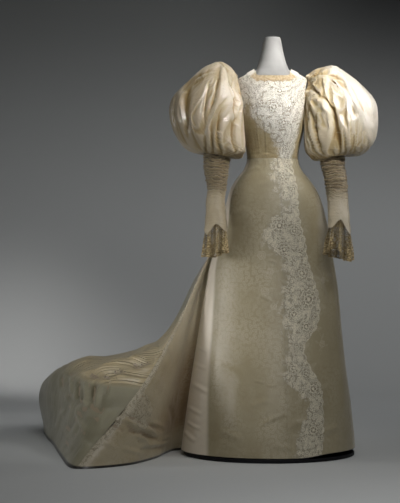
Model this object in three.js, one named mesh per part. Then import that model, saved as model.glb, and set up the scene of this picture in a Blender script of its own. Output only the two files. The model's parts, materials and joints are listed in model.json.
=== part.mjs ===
// A wedding dress of about 1896 standing on a limbless dress form: close bodice, balloon upper sleeves, ruched
// lower sleeves with lace frills, gored skirt with a long train swept round to the wearer's right.
// Millimetres, +Z up. The dress faces -Y, so the wearer's right is -X and "right" in a name is the wearer's.
// The origin is on the floor, on the axis of the stand. Every cloth piece is a closed wall of its own, 0.4 mm or
// more from its neighbours at the seams.
import * as THREE from 'three';

// ---- driving sizes -------------------------------------------------------------------------------------------
const CLOTH = 2.0;            // wall of the brocade and satin, with its interlining
const LACE = 1.2;             // wall of the lace pieces
const SEAM = 0.25;            // half of the gap between two sewn pieces
const WAIST_Z = 1086;         // waist seam
const HIP_Z = 935;            // fullest hip, where the skirt leaves the body
const HEM_Z = 15;             // front hem above the floor
const HEM_LIFT = 11;          // how much higher it rides towards the left side
const EDGE_DEG = 84;          // the sharp fold at the right side of the skirt front
const FRONT_SEAM_DEG = -8;    // seam that joins the two widths of the skirt front
const SIDE_SEAM_DEG = -70;    // left side seam
const BACK_SEAM_DEG = -128;   // left side-back seam
const TRAIN_SEAM_DEG = 128;   // right side-back seam, which ends at the front corner of the train
const FOLD_SEAM_DEG = 91;     // right side seam, in the valley behind the sharp fold
const BASE_R = 314, BASE_T = 12, BASE_X = -14, BASE_Y = -16, POLE_R = 16, TORSO_Z = 880, GAP = 0.4;
const FORM_EASE = 5.5;        // the form's surface lies this far inside the bodice's outer face
const HIP_EASE = 13;          // and this much further inside the skirt at the hips

const rad = (d) => (d * Math.PI) / 180;
const mix = (a, b, t) => a + (b - a) * t;
const clamp = (x, a, b) => Math.min(b, Math.max(a, x));
const ramp = (a, b, x) => { const t = clamp((x - a) / (b - a), 0, 1); return t * t * (3 - 2 * t); };

// A table is a list of named columns and a row for each section; column(t, key, value) is a smooth curve through it.
const table = (names, rows) => rows.map((r) => Object.fromEntries(names.split(' ').map((n, i) => [n, r[i]])));
function curve(xs, ys, monotone = false) {
  const n = xs.length, d = [], m = [];
  for (let i = 0; i < n - 1; i++) d[i] = (ys[i + 1] - ys[i]) / (xs[i + 1] - xs[i]);
  m[0] = d[0]; m[n - 1] = d[n - 2];
  for (let i = 1; i < n - 1; i++) {
    const h0 = xs[i] - xs[i - 1], h1 = xs[i + 1] - xs[i];
    m[i] = (d[i - 1] * h1 + d[i] * h0) / (h0 + h1);
    if (monotone) m[i] = d[i - 1] * d[i] <= 0 ? 0 : (3 * (h0 + h1)) / ((2 * h1 + h0) / d[i - 1] + (h1 + 2 * h0) / d[i]);
  }
  return (x) => {
    x = clamp(x, xs[0], xs[n - 1]);
    let i = 0;
    while (i < n - 2 && x > xs[i + 1]) i++;
    const h = xs[i + 1] - xs[i], t = (x - xs[i]) / h, t2 = t * t, t3 = t2 * t;
    return (2 * t3 - 3 * t2 + 1) * ys[i] + (t3 - 2 * t2 + t) * h * m[i] + (3 * t2 - 2 * t3) * ys[i + 1] + (t3 - t2) * h * m[i + 1];
  };
}
const column = (rows, key, value, monotone = true) => curve(rows.map((r) => r[key]), rows.map((r) => r[value]), monotone);

// ---- bodice and form: oval sections from waist to neck ---------------------------------------------------------
// side, front, back: how far the outer face of the bodice (above the neckline, of the form) lies from the axis
const FIGURE = table('z side front back', [
  [1080, 94, 81, 76], [1120, 98, 90, 80], [1157, 107, 104, 87], [1194, 116.5, 119, 94], [1231, 124, 129, 99],
  [1268, 130, 129, 102], [1305, 132, 121, 104], [1342, 132, 107, 102], [1365, 131, 93, 96], [1382, 127, 78, 87],
  [1396, 105, 69, 79], [1408, 84, 63, 72], [1418, 68, 57, 64], [1432, 56, 52, 56], [1446, 50, 47, 49],
  [1475, 42, 41, 42], [1505, 36, 36, 36.5], [1534, 30, 31, 31]]);
const fig = { side: column(FIGURE, 'z', 'side'), front: column(FIGURE, 'z', 'front'), back: column(FIGURE, 'z', 'back') };
const oval = (deg, side, front, back, power = 2) => {
  const s = Math.sin(rad(deg)), c = Math.cos(rad(deg)), p = 2 / power;
  return [-side * Math.sign(s) * Math.abs(s) ** p, -(c > 0 ? front : back) * Math.sign(c) * Math.abs(c) ** p];
};
const body = (deg, z) => [...oval(deg, fig.side(z), fig.front(z), fig.back(z), 2.15), z];

// the neckline's height and the width of its lace, by angle from the front
const NECKLINE = table('deg z lace', [[0, 1384, 18], [24, 1384.5, 17], [31, 1388, 14], [38, 1396, 12], [46, 1404, 11],
  [58, 1411, 10], [75, 1417, 9], [90, 1419, 9], [120, 1412, 10], [150, 1405, 12], [180, 1403, 14]]);
const neckZ = column(NECKLINE, 'deg', 'z'), laceDrop = column(NECKLINE, 'deg', 'lace');
const away = (deg) => Math.abs(((deg + 540) % 360) - 180); // angle from the front, 0 to 180
const ARM_LOW = 1262, ARM_TOP = 1383, ARM_CUT_FRONT = 27, ARM_CUT_BACK = 23; // armhole: heights, and how far it is cut in, degrees
const armCut = (z) => (z <= ARM_LOW || z >= ARM_TOP ? 0 : Math.sin((Math.PI * (z - ARM_LOW)) / (ARM_TOP - ARM_LOW)) ** 0.7);
const BODICE_Z = WAIST_Z + 1.5, SHOULDER_Z = 1417;
// s runs from -1 to 1 between the panel's side edges; w from 0 at the waist to 1 at the neckline
function bodicePoint(centre, half, cut, s, w) {
  const reach = half - cut * armCut(mix(BODICE_Z, SHOULDER_Z, w));
  const deg = centre + s * reach;
  return body(deg, mix(BODICE_Z, neckZ(away(deg)), w));
}

// ---- skirt: a front that follows the hips, and a train of gores that fall, land on a mound and reach the floor --
const SIDES = table('z right left front back', [ // half widths to the wearer's right and left, and depths
  [15, 340, 304, 326, 313], [80, 331, 299, 314, 304], [173, 318, 289, 299, 293], [299, 299, 273, 277, 275],
  [439, 277, 258, 248, 250], [609, 250, 243, 214, 222], [717, 226, 227, 191, 205], [760, 208, 222, 182, 199],
  [800, 191, 215, 173, 193], [842, 179, 206, 163, 187], [890, 175, 194, 152, 181], [935, 168, 180, 141, 174],
  [972, 158, 164, 129, 163], [1009, 137, 138, 114, 141], [1046, 108, 108, 97, 110], [1070, 97, 98, 88, 88], [1086, 94, 95, 82.5, 77.5]]);
const side = Object.fromEntries(['right', 'left', 'front', 'back'].map((k) => [k, column(SIDES, 'z', k)]));
const hug = (deg, z) => [...oval(deg, Math.sin(rad(deg)) > 0 ? side.right(z) : side.left(z), side.front(z), side.back(z)), z];
// A row for each gore line of the train: where it lands on the mound of cloth (land), where it tips over the
// mound's brow (brow), and where its hem lies on the floor (hem).
const TRAIN = table('deg landX landY landZ browX browY browZ hemX hemY', [
  [84, -271, -25, 476, -312, -31, 200, -338, -33], [87, -262, 28, 477, -303, 30, 202, -330, 34],
  [91, -262, 62, 478, -306, 82, 203, -336, 92], [96, -283, 62, 478, -333, 72, 205, -368, 70],
  [101, -303, 34, 474, -357, 10, 203, -394, -20], [107, -317, -24, 465, -385, -95, 200, -428, -170],
  [115, -346, -94, 445, -450, -255, 200, -520, -375], [124, -380, -136, 430, -525, -320, 215, -680, -484],
  [130, -404, -72, 415, -590, -200, 265, -722, -425], [138, -415, 30, 405, -670, 0, 285, -778, -100],
  [148, -430, 170, 400, -745, 250, 285, -835, 265], [158, -435, 320, 395, -850, 560, 262, -890, 580],
  [168, -420, 450, 385, -900, 800, 205, -915, 850], [178, -360, 540, 370, -760, 1000, 190, -830, 1050],
  [190, -230, 570, 360, -500, 1040, 170, -570, 1130], [204, -95, 530, 360, -210, 900, 155, -265, 1050],
  [218, 30, 450, 380, 25, 690, 155, 15, 830], [232, 115, 350, 410, 190, 480, 165, 205, 560],
  [246, 185, 235, 445, 260, 270, 185, 287, 305], [261, 245, 95, 476, 291, 100, 201, 312, 110],
  [276, 251, -25, 476, 284, -30, 200, 302, -33]]);
const gore = Object.fromEntries(Object.keys(TRAIN[0]).map((k) => [k, column(TRAIN, 'deg', k, false)]));
const HIP_V = (WAIST_Z - HIP_Z) / (WAIST_Z - HEM_Z), LAND_V = 0.62, BROW_V = 0.82;
// organ-pipe folds below the back waist, by the angle of each crest
const PIPES = table('deg width depth', [[146, 9, 22], [168, 9, 30], [192, 9, 30], [214, 9, 24], [236, 9, 14]]);
function trainPoint(deg, v) {
  if (v <= HIP_V) return hug(deg, mix(WAIST_Z, HIP_Z, v / HIP_V));
  const hip = hug(deg, HIP_Z), land = [gore.landX(deg), gore.landY(deg), gore.landZ(deg)];
  const brow = [gore.browX(deg), gore.browY(deg), gore.browZ(deg)], hem = [gore.hemX(deg), gore.hemY(deg), 0];
  const ps = [hug(deg, HIP_Z + 60), hip, hip.map((h, k) => mix(h, land[k], 0.5)), land, brow, hem];
  return [0, 1, 2].map((k) => curve([HIP_V - 0.056, HIP_V, mix(HIP_V, LAND_V, 0.5), LAND_V, BROW_V, 1], ps.map((p) => p[k]))(v));
}
function pipes(deg, v) {
  const grow = ramp(0.03, 0.3, v) * (1 - ramp(0.5, 0.86, v));
  return PIPES.reduce((sum, p) => sum + p.depth * grow * Math.exp(-(((deg - p.deg) / p.width) ** 2) * 2.2), 0);
}
// deg from -84 through 0, the front, to 276; v from 0 at the waist to 1 at the hem
function skirtPoint(deg, v) {
  const front = hug(deg, mix(WAIST_Z, HEM_Z + HEM_LIFT * (1 - ramp(-44, -14, deg)), v));
  const around = deg < -EDGE_DEG ? deg + 360 : deg;
  const share = around > 180 ? 1 - ramp(236, 276, around) : ramp(EDGE_DEG, EDGE_DEG + 7, around);
  if (share === 0) return front;
  const back = trainPoint(around, v), p = [0, 1, 2].map((k) => mix(front[k], back[k], share));
  const out = pipes(around, v), a = rad(around);
  return [p[0] - out * Math.sin(a), p[1] - out * Math.cos(a), p[2]];
}

// ---- sleeves: rings that turn from the armhole to the elbow ------------------------------------------------------
// outer and inner (x, z): the ring's highest and lowest place; deep: its half depth front to back; y: its middle
const PUFF = {
  right: table('ox oz ix iz deep y', [
    [-131.5, 1384, -131.5, 1264, 50, 0], [-148, 1420, -134, 1252, 74, 0], [-172, 1444, -133, 1240, 98, 0],
    [-204, 1456, -130, 1222, 120, 0], [-262, 1434, -125, 1200, 137, -2], [-328, 1379, -121, 1178, 146, -4],
    [-382, 1324, -116, 1158, 149, -6], [-393, 1262, -112, 1138, 147, -8], [-372, 1203, -108, 1118, 137, -9],
    [-334, 1158, -106, 1103, 119, -10], [-294, 1128, -110, 1093, 96, -10], [-268, 1112, -136, 1093, 68, -10],
    [-262, 1122, -150, 1122, 54, -10]]),
  left: table('ox oz ix iz deep y', [
    [131.5, 1384, 131.5, 1264, 50, 0], [152, 1416, 134, 1252, 74, 0], [188, 1433, 133, 1240, 98, 0],
    [232, 1440, 130, 1222, 120, 0], [292, 1408, 125, 1200, 137, -2], [348, 1362, 121, 1178, 146, -4],
    [392, 1308, 117, 1160, 149, -6], [402, 1250, 114, 1144, 149, -8], [398, 1190, 115, 1128, 141, -9],
    [378, 1143, 123, 1108, 124, -10], [335, 1115, 138, 1092, 99, -10], [290, 1108, 156, 1084, 70, -10],
    [274, 1122, 162, 1118, 54, -10]]) };
// the folds of each balloon: the crest of each one, counted from the outer side through the front, and its depth
const PUFF_FOLDS = {
  right: table('deg depth', [[2, 8], [30, 13], [55, 9], [83, 15], [108, 12], [131, 17], [160, 10], [192, 12], [226, 15], [260, 16], [296, 11], [332, 10]]),
  left: table('deg depth', [[0, 8], [28, 12], [58, 14], [86, 9], [112, 17], [136, 20], [164, 13], [194, 10], [228, 15], [262, 13], [298, 15], [330, 9]]) };
const TOP_GATHER = 42; // degrees by which the folds crowd together at the top of the armhole
// each lower sleeve: middle of the ring and its half width and half depth, elbow to wrist
const LOWER_ROWS = 10, RUCHE = 1.4; // rows of ruching, and how far it stands in and out
const LOWER = {
  right: table('z x y wide deep', [[1127, -205, -10, 50, 47], [1083, -206, -26, 48.5, 46], [1046, -208, -42, 45, 43],
    [1009, -207, -58, 38.5, 38], [972, -206, -74, 34.5, 35], [935, -211, -90, 35, 35], [900, -211, -103, 36.5, 36],
    [868, -210, -122, 39, 37.5], [840, -210, -134, 42, 40], [812, -210, -145, 45, 42]]),
  left: table('z x y wide deep', [[1127, 215, -10, 50, 47], [1083, 219, -26, 46, 45], [1046, 223, -42, 42, 42],
    [1009, 229, -58, 40.5, 40], [972, 232, -74, 39.5, 38.5], [935, 234, -90, 39, 37.5], [900, 236, -103, 39, 37.5],
    [868, 236, -122, 40, 38], [840, 236, -134, 41.5, 40], [812, 236, -145, 44, 42]]) };
// the wrist's edge: a notch at the front between two points, from the front towards the wearer's right and back to it
const WRIST = {
  right: table('deg z', [[-180, 834], [-110, 832], [-75, 826], [-50, 819], [-35, 826], [0, 844], [30, 820], [50, 808], [75, 818], [110, 830], [180, 834]]),
  left: table('deg z', [[-180, 834], [-110, 828], [-75, 815], [-55, 808], [-35, 826], [-2, 861], [25, 843], [46, 832], [75, 832], [110, 834], [180, 834]]) };
const wristZ = (which, deg) => column(WRIST[which], 'deg', 'z')(((deg + 540) % 360) - 180);
// lace frill: starts inside the wrist and hangs in flutes
const FRILL = {
  right: table('z x y wide deep flute', [[872, -210, -121, 32, 30, 0], [835, -210, -136, 36, 33, 1.5], [780, -211, -153, 41, 37, 4.5], [722, -213, -168, 43, 39, 7]]),
  left: table('z x y wide deep flute', [[872, 236, -121, 32, 30, 0], [835, 236, -136, 36, 33, 1.5], [780, 234, -151, 46, 38, 5], [708, 231, -164, 52, 41, 8]]) };
const FRILL_FLUTES = 7;

// Splits a ring table into curves over the ring's place, 0 at the first row and 1 at the last.
const rings = (rows) => Object.fromEntries(Object.keys(rows[0]).map((k) => [k, curve(rows.map((_, i) => i / (rows.length - 1)), rows.map((r) => r[k]))]));
// every crest and, half way to the next one, every trough, with how far each lies inside the balloon's full outline
function foldLines(which) {
  const f = PUFF_FOLDS[which];
  return f.flatMap((row, i) => {
    const next = f[(i + 1) % f.length], gap = ((next.deg - row.deg + 360) % 360) / 2;
    return [{ deg: row.deg, sink: 0 }, { deg: row.deg + gap, sink: (row.depth + next.depth) / 2 }];
  });
}
function foldSink(which, deg) {
  const lines = foldLines(which), n = lines.length, first = lines[0].deg, d = ((deg - first) % 360 + 360) % 360 + first;
  let i = n - 1;
  while (i > 0 && lines[i].deg > d) i--;
  const a = lines[i], b = i === n - 1 ? { ...lines[0], deg: first + 360 } : lines[i + 1], t = (d - a.deg) / (b.deg - a.deg);
  return mix(a.sink, b.sink, t * t * (3 - 2 * t));
}
function puffPoint(which, deg, v) {
  const c = rings(PUFF[which]), o = [c.ox(v), c.oz(v)], i = [c.ix(v), c.iz(v)];
  const a = rad(deg - TOP_GATHER * Math.sin(rad(deg)) * Math.max(0, 1 - v) ** 1.6);
  const sink = foldSink(which, deg) * Math.sin(Math.PI * clamp(v, 0, 1)) ** 0.7;
  const halfSpan = Math.hypot(o[0] - i[0], o[1] - i[1]) / 2, full = 1 - sink / Math.max(60, Math.min(halfSpan, c.deep(v)));
  const u = 0.5 + 0.5 * Math.cos(a) * full;
  return [mix(i[0], o[0], u), c.y(v) - c.deep(v) * Math.sin(a) * full, mix(i[1], o[1], u)];
}
// deg 0 is the front of a lower sleeve or frill, and grows towards the wearer's right
function tubeAt(rows, deg, z, extra = 0) {
  const up = [...rows].sort((a, b) => a.z - b.z), at = (k) => column(up, 'z', k, false)(z);
  const a = rad(deg), w = at('wide') + extra, d = at('deep') + extra;
  return [at('x') - w * Math.sin(a), at('y') - d * Math.cos(a), z];
}
const lowerPoint = (which, deg, v) => {
  const ruche = RUCHE * Math.cos(Math.PI * LOWER_ROWS * v + rad(deg) * 2) * (1 - ramp(0.62, 0.78, v));
  return tubeAt(LOWER[which], deg, mix(1127, wristZ(which, deg), v), ruche);
};
function frillPoint(which, deg, v) {
  const rows = FRILL[which], z = mix(rows[0].z, rows[rows.length - 1].z, v);
  const flute = column([...rows].sort((a, b) => a.z - b.z), 'z', 'flute', false)(z);
  return tubeAt(rows, deg, z, flute * Math.cos(FRILL_FLUTES * rad(deg) + 0.6));
}

// ---- walls: a grid of points on the outer face, the same points moved in by the thickness, and the rims -----------
// at(i, j) gives the outer point of column i and row j, columns running towards the wearer's left and rows down;
// round closes the columns into a ring, and floor keeps the wall above the floor
function wall(name, at, columns, rows, round, thick, material, floor = false) {
  const count = round ? columns : columns + 1, outer = [], inner = [], E = 0.02;
  const point = (i, j) => new THREE.Vector3(...at(i, j));
  for (let i = 0; i < count; i++) for (let j = 0; j <= rows; j++) {
    const p = point(i, j), il = round ? i - E : Math.max(0, i - E), ih = round ? i + E : Math.min(columns, i + E);
    const across = point(ih, j).sub(point(il, j)), down = point(i, Math.min(rows, j + E)).sub(point(i, Math.max(0, j - E)));
    const q = p.clone().addScaledVector(down.cross(across).normalize(), -thick);
    if (floor) { p.z = Math.max(p.z, 0); q.z = j === rows ? p.z : Math.max(q.z, 0); }
    outer.push(p); inner.push(q);
  }
  const id = (i, j) => (i % count) * (rows + 1) + j, m = outer.length, tri = [];
  const quad = (a, b, c, d) => tri.push(a, b, c, a, c, d);
  for (let i = 0; i < columns; i++) for (let j = 0; j < rows; j++) {
    const a = id(i, j), b = id(i, j + 1), c = id(i + 1, j + 1), d = id(i + 1, j);
    quad(a, b, c, d);
    tri.push(m + a, m + c, m + b, m + a, m + d, m + c);
  }
  for (let i = 0; i < columns; i++) {
    const a = id(i, 0), b = id(i + 1, 0), c = id(i, rows), d = id(i + 1, rows);
    quad(a, b, m + b, m + a); quad(d, c, m + c, m + d);
  }
  if (!round) for (let j = 0; j < rows; j++) {
    const a = id(0, j), b = id(0, j + 1), c = id(columns, j), d = id(columns, j + 1);
    quad(b, a, m + a, m + b); quad(c, d, m + d, m + c);
  }
  const geometry = new THREE.BufferGeometry();
  geometry.setAttribute('position', new THREE.Float32BufferAttribute([...outer, ...inner].flatMap((p) => [p.x, p.y, p.z]), 3));
  geometry.setIndex(tri);
  return named(name, geometry, material);
}
// a value part of the way between the entries of a list
const along = (list, i) => { const k = clamp(Math.floor(i), 0, list.length - 2); return mix(list[k], list[k + 1], i - k); };
// a solid from closed rings, capped at both ends
function stack(name, at, columns, heights, material) {
  const points = [], tri = [], n = heights.length;
  for (let j = 0; j < n; j++) for (let i = 0; i < columns; i++) points.push(...at((360 * i) / columns, heights[j]));
  const low = points.length / 3; points.push(0, 0, heights[0]);
  const high = low + 1; points.push(0, 0, heights[n - 1]);
  const id = (i, j) => j * columns + (i % columns);
  for (let j = 0; j < n - 1; j++) for (let i = 0; i < columns; i++) tri.push(id(i, j), id(i, j + 1), id(i + 1, j + 1), id(i, j), id(i + 1, j + 1), id(i + 1, j));
  for (let i = 0; i < columns; i++) tri.push(low, id(i, 0), id(i + 1, 0), high, id(i + 1, n - 1), id(i, n - 1));
  const geometry = new THREE.BufferGeometry();
  geometry.setAttribute('position', new THREE.Float32BufferAttribute(points, 3));
  geometry.setIndex(tri);
  return named(name, geometry, material);
}
function named(name, geometry, material) {
  geometry.computeVertexNormals();
  const mesh = new THREE.Mesh(geometry, material);
  mesh.name = name;
  return mesh;
}

const finish = (color, roughness, metalness = 0) => new THREE.MeshStandardMaterial({ color, roughness, metalness, side: THREE.DoubleSide });
const BROCADE = finish(0xd3cbb2, 0.5), SATIN = finish(0xe2d8c2, 0.35), LACE_CLOTH = finish(0xb9a679, 0.8);
const FORM = finish(0xeeece6, 0.6), BLACK = finish(0x101114, 0.4);

const dress = new THREE.Group();
// bodice: one front, two backs that meet at the centre back
const ROWS = [1, 0.965, 0.93, 0.89, 0.84, 0.78, 0.69, 0.59, 0.48, 0.36, 0.24, 0.12, 0]; // closer rows at the curved shoulders
const rowAt = (j) => along(ROWS, j);
function bodicePanel(name, centre, half, cut, columns) {
  const trim = (SEAM / 110) * (180 / Math.PI);
  dress.add(wall(name, (i, j) => bodicePoint(centre, half - trim, cut, 1 - (2 * i) / columns, rowAt(j)), columns, ROWS.length - 1, false, CLOTH, BROCADE));
}
bodicePanel('bodice_front', 0, 90, ARM_CUT_FRONT, 22);
// the backs share the front's function with one edge kept straight at the centre back
function bodiceBack(name, sign) {
  const trim = (SEAM / 100) * (180 / Math.PI), columns = 7;
  dress.add(wall(name, (i, j) => {
    const w = rowAt(j), cut = ARM_CUT_BACK * armCut(mix(BODICE_Z, SHOULDER_Z, w));
    const s = sign > 0 ? 1 - i / columns : i / columns; // 0 at the side edge, 1 at the centre back
    const deg = sign * mix(90 + trim + cut, 180 - trim, s);
    return body(deg, mix(BODICE_Z, neckZ(away(deg)), w));
  }, columns, ROWS.length - 1, false, CLOTH, BROCADE));
}
bodiceBack('bodice_back_right', 1);
bodiceBack('bodice_back_left', -1);

// lace along the neckline, on the bodice's own points moved out, open at the centre back
dress.add(wall('neck_lace', (i, j) => {
  const deg = mix(178.5, -178.5, i / 52), top = neckZ(away(deg)) + 3, e = 0.5;
  const z = mix(top, neckZ(away(deg)) - laceDrop(away(deg)), j / 2), p = new THREE.Vector3(...body(deg, z));
  const across = new THREE.Vector3(...body(deg - e, z)).sub(new THREE.Vector3(...body(deg + e, z)));
  const down = new THREE.Vector3(...body(deg, z - e)).sub(new THREE.Vector3(...body(deg, z + e)));
  return [...p.addScaledVector(down.cross(across).normalize(), LACE + 1.2)];
}, 52, 2, false, LACE, LACE_CLOTH));

// sleeves
const PUFF_ROWS = 11, FRILL_COLUMNS = 28;
for (const which of ['right', 'left']) {
  const turn = which === 'right' ? 1 : -1; // keeps each ring running the same way as seen from outside
  const folds = foldLines(which), n = folds.length, fold = (i) => folds[((Math.floor(i) % n) + n) % n].deg + 360 * Math.floor(i / n);
  const foldAt = (i) => mix(fold(i), fold(i + 1), i - Math.floor(i));
  dress.add(wall('sleeve_puff_' + which, (i, j) => puffPoint(which, foldAt(turn * i), j / PUFF_ROWS), n, PUFF_ROWS, true, CLOTH, SATIN));
  dress.add(wall('sleeve_lower_' + which, (i, j) => lowerPoint(which, (-360 * i) / 16, j / LOWER_ROWS), 16, LOWER_ROWS, true, CLOTH, SATIN));
  dress.add(wall('cuff_lace_' + which, (i, j) => frillPoint(which, (-360 * i) / FRILL_COLUMNS, j / 3), FRILL_COLUMNS, 3, true, LACE, LACE_CLOTH));
}

// skirt gores: each runs from the waist to the hem between two seams, with a row of points at each share of the fall
const FALL = [0, 0.03, 0.065, 0.1, 0.148, 0.21, 0.29, 0.38, 0.47, 0.55, 0.63, 0.72, 0.81, 0.9, 1];
function skirtPanel(name, lines, cloth = BROCADE) {
  const mid = (lines[0] + lines[lines.length - 1]) / 2;
  dress.add(wall(name, (i, j) => {
    const v = along(FALL, j), m = skirtPoint(mid, v), reach = Math.max(60, Math.hypot(m[0], m[1])) * 0.7;
    const trim = (SEAM / reach) * (180 / Math.PI), deg = along(lines, i);
    return skirtPoint(clamp(deg, lines[lines.length - 1] + trim, lines[0] - trim), v);
  }, lines.length - 1, FALL.length - 1, false, CLOTH, cloth, true));
}
// evenly spread gore lines
const lines = (from, to, n) => Array.from({ length: n + 1 }, (_, i) => mix(from, to, i / n));
skirtPanel('skirt_front_right', [FOLD_SEAM_DEG, 88.5, 86, EDGE_DEG, 82, ...lines(76, FRONT_SEAM_DEG, 9)]);
skirtPanel('skirt_front_left', lines(FRONT_SEAM_DEG, SIDE_SEAM_DEG, 7));
skirtPanel('skirt_side_left', lines(SIDE_SEAM_DEG, BACK_SEAM_DEG, 7));
skirtPanel('train_back_left', [360 + BACK_SEAM_DEG, 225, 219, 214, 209, 203, 197, 192, 186, 180], SATIN);
skirtPanel('train_back_right', [180, 174, 168, 162.5, 157, 151.5, 146, 141, 136, 132, TRAIN_SEAM_DEG], SATIN);
skirtPanel('skirt_side_right', lines(TRAIN_SEAM_DEG, FOLD_SEAM_DEG, 10));

// form and stand
const formEase = (z) => (FORM_EASE + 5 * ramp(1320, 1380, z)) * (1 - ramp(1424, 1480, z)) + HIP_EASE * (1 - ramp(1000, WAIST_Z - 6, z));
function formPoint(deg, z) {
  const low = z < WAIST_Z, e = formEase(z);
  const s = low ? Math.min(side.right(z), side.left(z)) : fig.side(z), f = low ? side.front(z) : fig.front(z), b = low ? side.back(z) : fig.back(z);
  return [...oval(deg, s - e, f - e, b - e, low ? 2 : 2.15), z];
}
const levels = [TORSO_Z, 905, 935, 965, 995, 1025, 1050, 1070, 1084, ...FIGURE.slice(1).map((r) => r.z)];
const top = FIGURE[FIGURE.length - 1];
dress.add(stack('form_torso', (deg, z) => (z > top.z ? [...oval(deg, z > top.z + 2.5 ? 16 : 26, z > top.z + 2.5 ? 16 : 26.5, z > top.z + 2.5 ? 16 : 26.5, 2), z] : formPoint(deg, z)), 30, [...levels, top.z + 2, top.z + 3.2], FORM));
const pole = new THREE.CylinderGeometry(POLE_R, POLE_R, TORSO_Z - BASE_T - 2 * GAP, 24).rotateX(Math.PI / 2).translate(0, 0, (TORSO_Z + BASE_T) / 2);
dress.add(named('stand_pole', pole, BLACK));
const base = new THREE.LatheGeometry([[0, 0], [BASE_R - 1.5, 0], [BASE_R, 1.5], [BASE_R, BASE_T - 2], [BASE_R - 2, BASE_T], [0, BASE_T]].map((p) => new THREE.Vector2(...p)), 64).rotateX(Math.PI / 2).translate(BASE_X, BASE_Y, 0);
dress.add(named('stand_base', base, BLACK));

export default dress;
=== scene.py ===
# A wedding dress of about 1896 on a limbless dress form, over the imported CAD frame.
# Cloth is made as thin shells on the CAD's own sections, with finer folds, creases, lace and woven patterns.
# Tables are in millimetres and degrees, as in the part's source; meshes are in metres.
import bpy
import json
import math
import mathutils
import numpy as np
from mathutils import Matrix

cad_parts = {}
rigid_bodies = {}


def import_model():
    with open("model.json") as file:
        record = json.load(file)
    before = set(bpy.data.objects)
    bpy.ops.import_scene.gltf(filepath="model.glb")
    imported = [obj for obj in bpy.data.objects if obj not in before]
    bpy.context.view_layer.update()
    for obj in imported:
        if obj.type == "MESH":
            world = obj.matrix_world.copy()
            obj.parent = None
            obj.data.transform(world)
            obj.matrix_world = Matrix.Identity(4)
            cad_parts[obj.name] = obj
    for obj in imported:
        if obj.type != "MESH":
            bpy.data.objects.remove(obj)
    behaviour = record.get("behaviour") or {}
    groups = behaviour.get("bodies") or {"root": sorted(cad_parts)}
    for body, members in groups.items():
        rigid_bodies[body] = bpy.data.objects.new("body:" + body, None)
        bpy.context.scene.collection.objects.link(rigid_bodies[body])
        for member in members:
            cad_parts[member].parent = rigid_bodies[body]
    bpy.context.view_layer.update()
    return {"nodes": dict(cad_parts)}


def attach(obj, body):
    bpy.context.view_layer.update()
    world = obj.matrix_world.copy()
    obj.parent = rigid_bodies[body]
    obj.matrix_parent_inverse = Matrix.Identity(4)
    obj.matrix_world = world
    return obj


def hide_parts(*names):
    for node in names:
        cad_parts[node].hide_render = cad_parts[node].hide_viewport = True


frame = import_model()
MM = 0.001

# ------------------------------------------------------------------------------------------------ maths
def mix(a, b, t):
    return a + (b - a) * t


def clamp(x, a, b):
    return np.minimum(b, np.maximum(a, x))


def ramp(a, b, x):
    t = clamp((x - a) / (b - a), 0.0, 1.0)
    return t * t * (3 - 2 * t)


def sind(d):
    return np.sin(np.radians(d))


def cosd(d):
    return np.cos(np.radians(d))


def curve(xs, ys, monotone=False):
    """A smooth curve through the points of a table, held level past its ends."""
    xs, ys = np.array(xs, float), np.array(ys, float)
    h, d = np.diff(xs), np.diff(ys) / np.diff(xs)
    m = np.empty(len(xs))
    m[0], m[-1] = d[0], d[-1]
    for i in range(1, len(xs) - 1):
        if monotone:
            m[i] = 0 if d[i - 1] * d[i] <= 0 else 3 * (h[i - 1] + h[i]) / ((2 * h[i] + h[i - 1]) / d[i - 1] + (h[i] + 2 * h[i - 1]) / d[i])
        else:
            m[i] = (d[i - 1] * h[i] + d[i] * h[i - 1]) / (h[i - 1] + h[i])

    def at(x):
        x = clamp(np.asarray(x, float), xs[0], xs[-1])
        i = clamp(np.searchsorted(xs, x, side="right") - 1, 0, len(xs) - 2).astype(int)
        t = (x - xs[i]) / h[i]
        return (2 * t**3 - 3 * t**2 + 1) * ys[i] + (t**3 - 2 * t**2 + t) * h[i] * m[i] + (3 * t**2 - 2 * t**3) * ys[i + 1] + (t**3 - t**2) * h[i] * m[i + 1]

    return at


def table(names, rows):
    return [dict(zip(names.split(), r)) for r in rows]


def columns(rows, key, monotone=True):
    rows = sorted(rows, key=lambda r: r[key])
    return {k: curve([r[key] for r in rows], [r[k] for r in rows], monotone) for k in rows[0] if k != key}


def _hash(i, j, k, seed):
    n = (i * 374761393 + j * 668265263 + k * 2147483647 + seed * 974634777) & 0xFFFFFFFF
    n = ((n ^ (n >> 13)) * 1274126177) & 0xFFFFFFFF
    return ((n ^ (n >> 16)) & 0xFFFFFF) / float(0xFFFFFF)


def noise(x, y, z=0.0, seed=0):
    """Smooth value noise from -1 to 1."""
    x, y, z = np.broadcast_arrays(np.asarray(x, float), np.asarray(y, float), np.asarray(z, float))
    i, j, k = (np.floor(c).astype(np.int64) for c in (x, y, z))
    fx, fy, fz = x - i, y - j, z - k
    fx, fy, fz = (f * f * f * (f * (f * 6 - 15) + 10) for f in (fx, fy, fz))
    out = 0.0
    for a in (0, 1):
        for b in (0, 1):
            for c in (0, 1):
                w = (fx if a else 1 - fx) * (fy if b else 1 - fy) * (fz if c else 1 - fz)
                out = out + w * _hash(i + a, j + b, k + c, seed)
    return out * 2 - 1


def turbulence(x, y, z=0.0, seed=0, octaves=3):
    return sum(noise(x * 2**o, y * 2**o, z * 2**o, seed + o) / 2**o for o in range(octaves))


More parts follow.
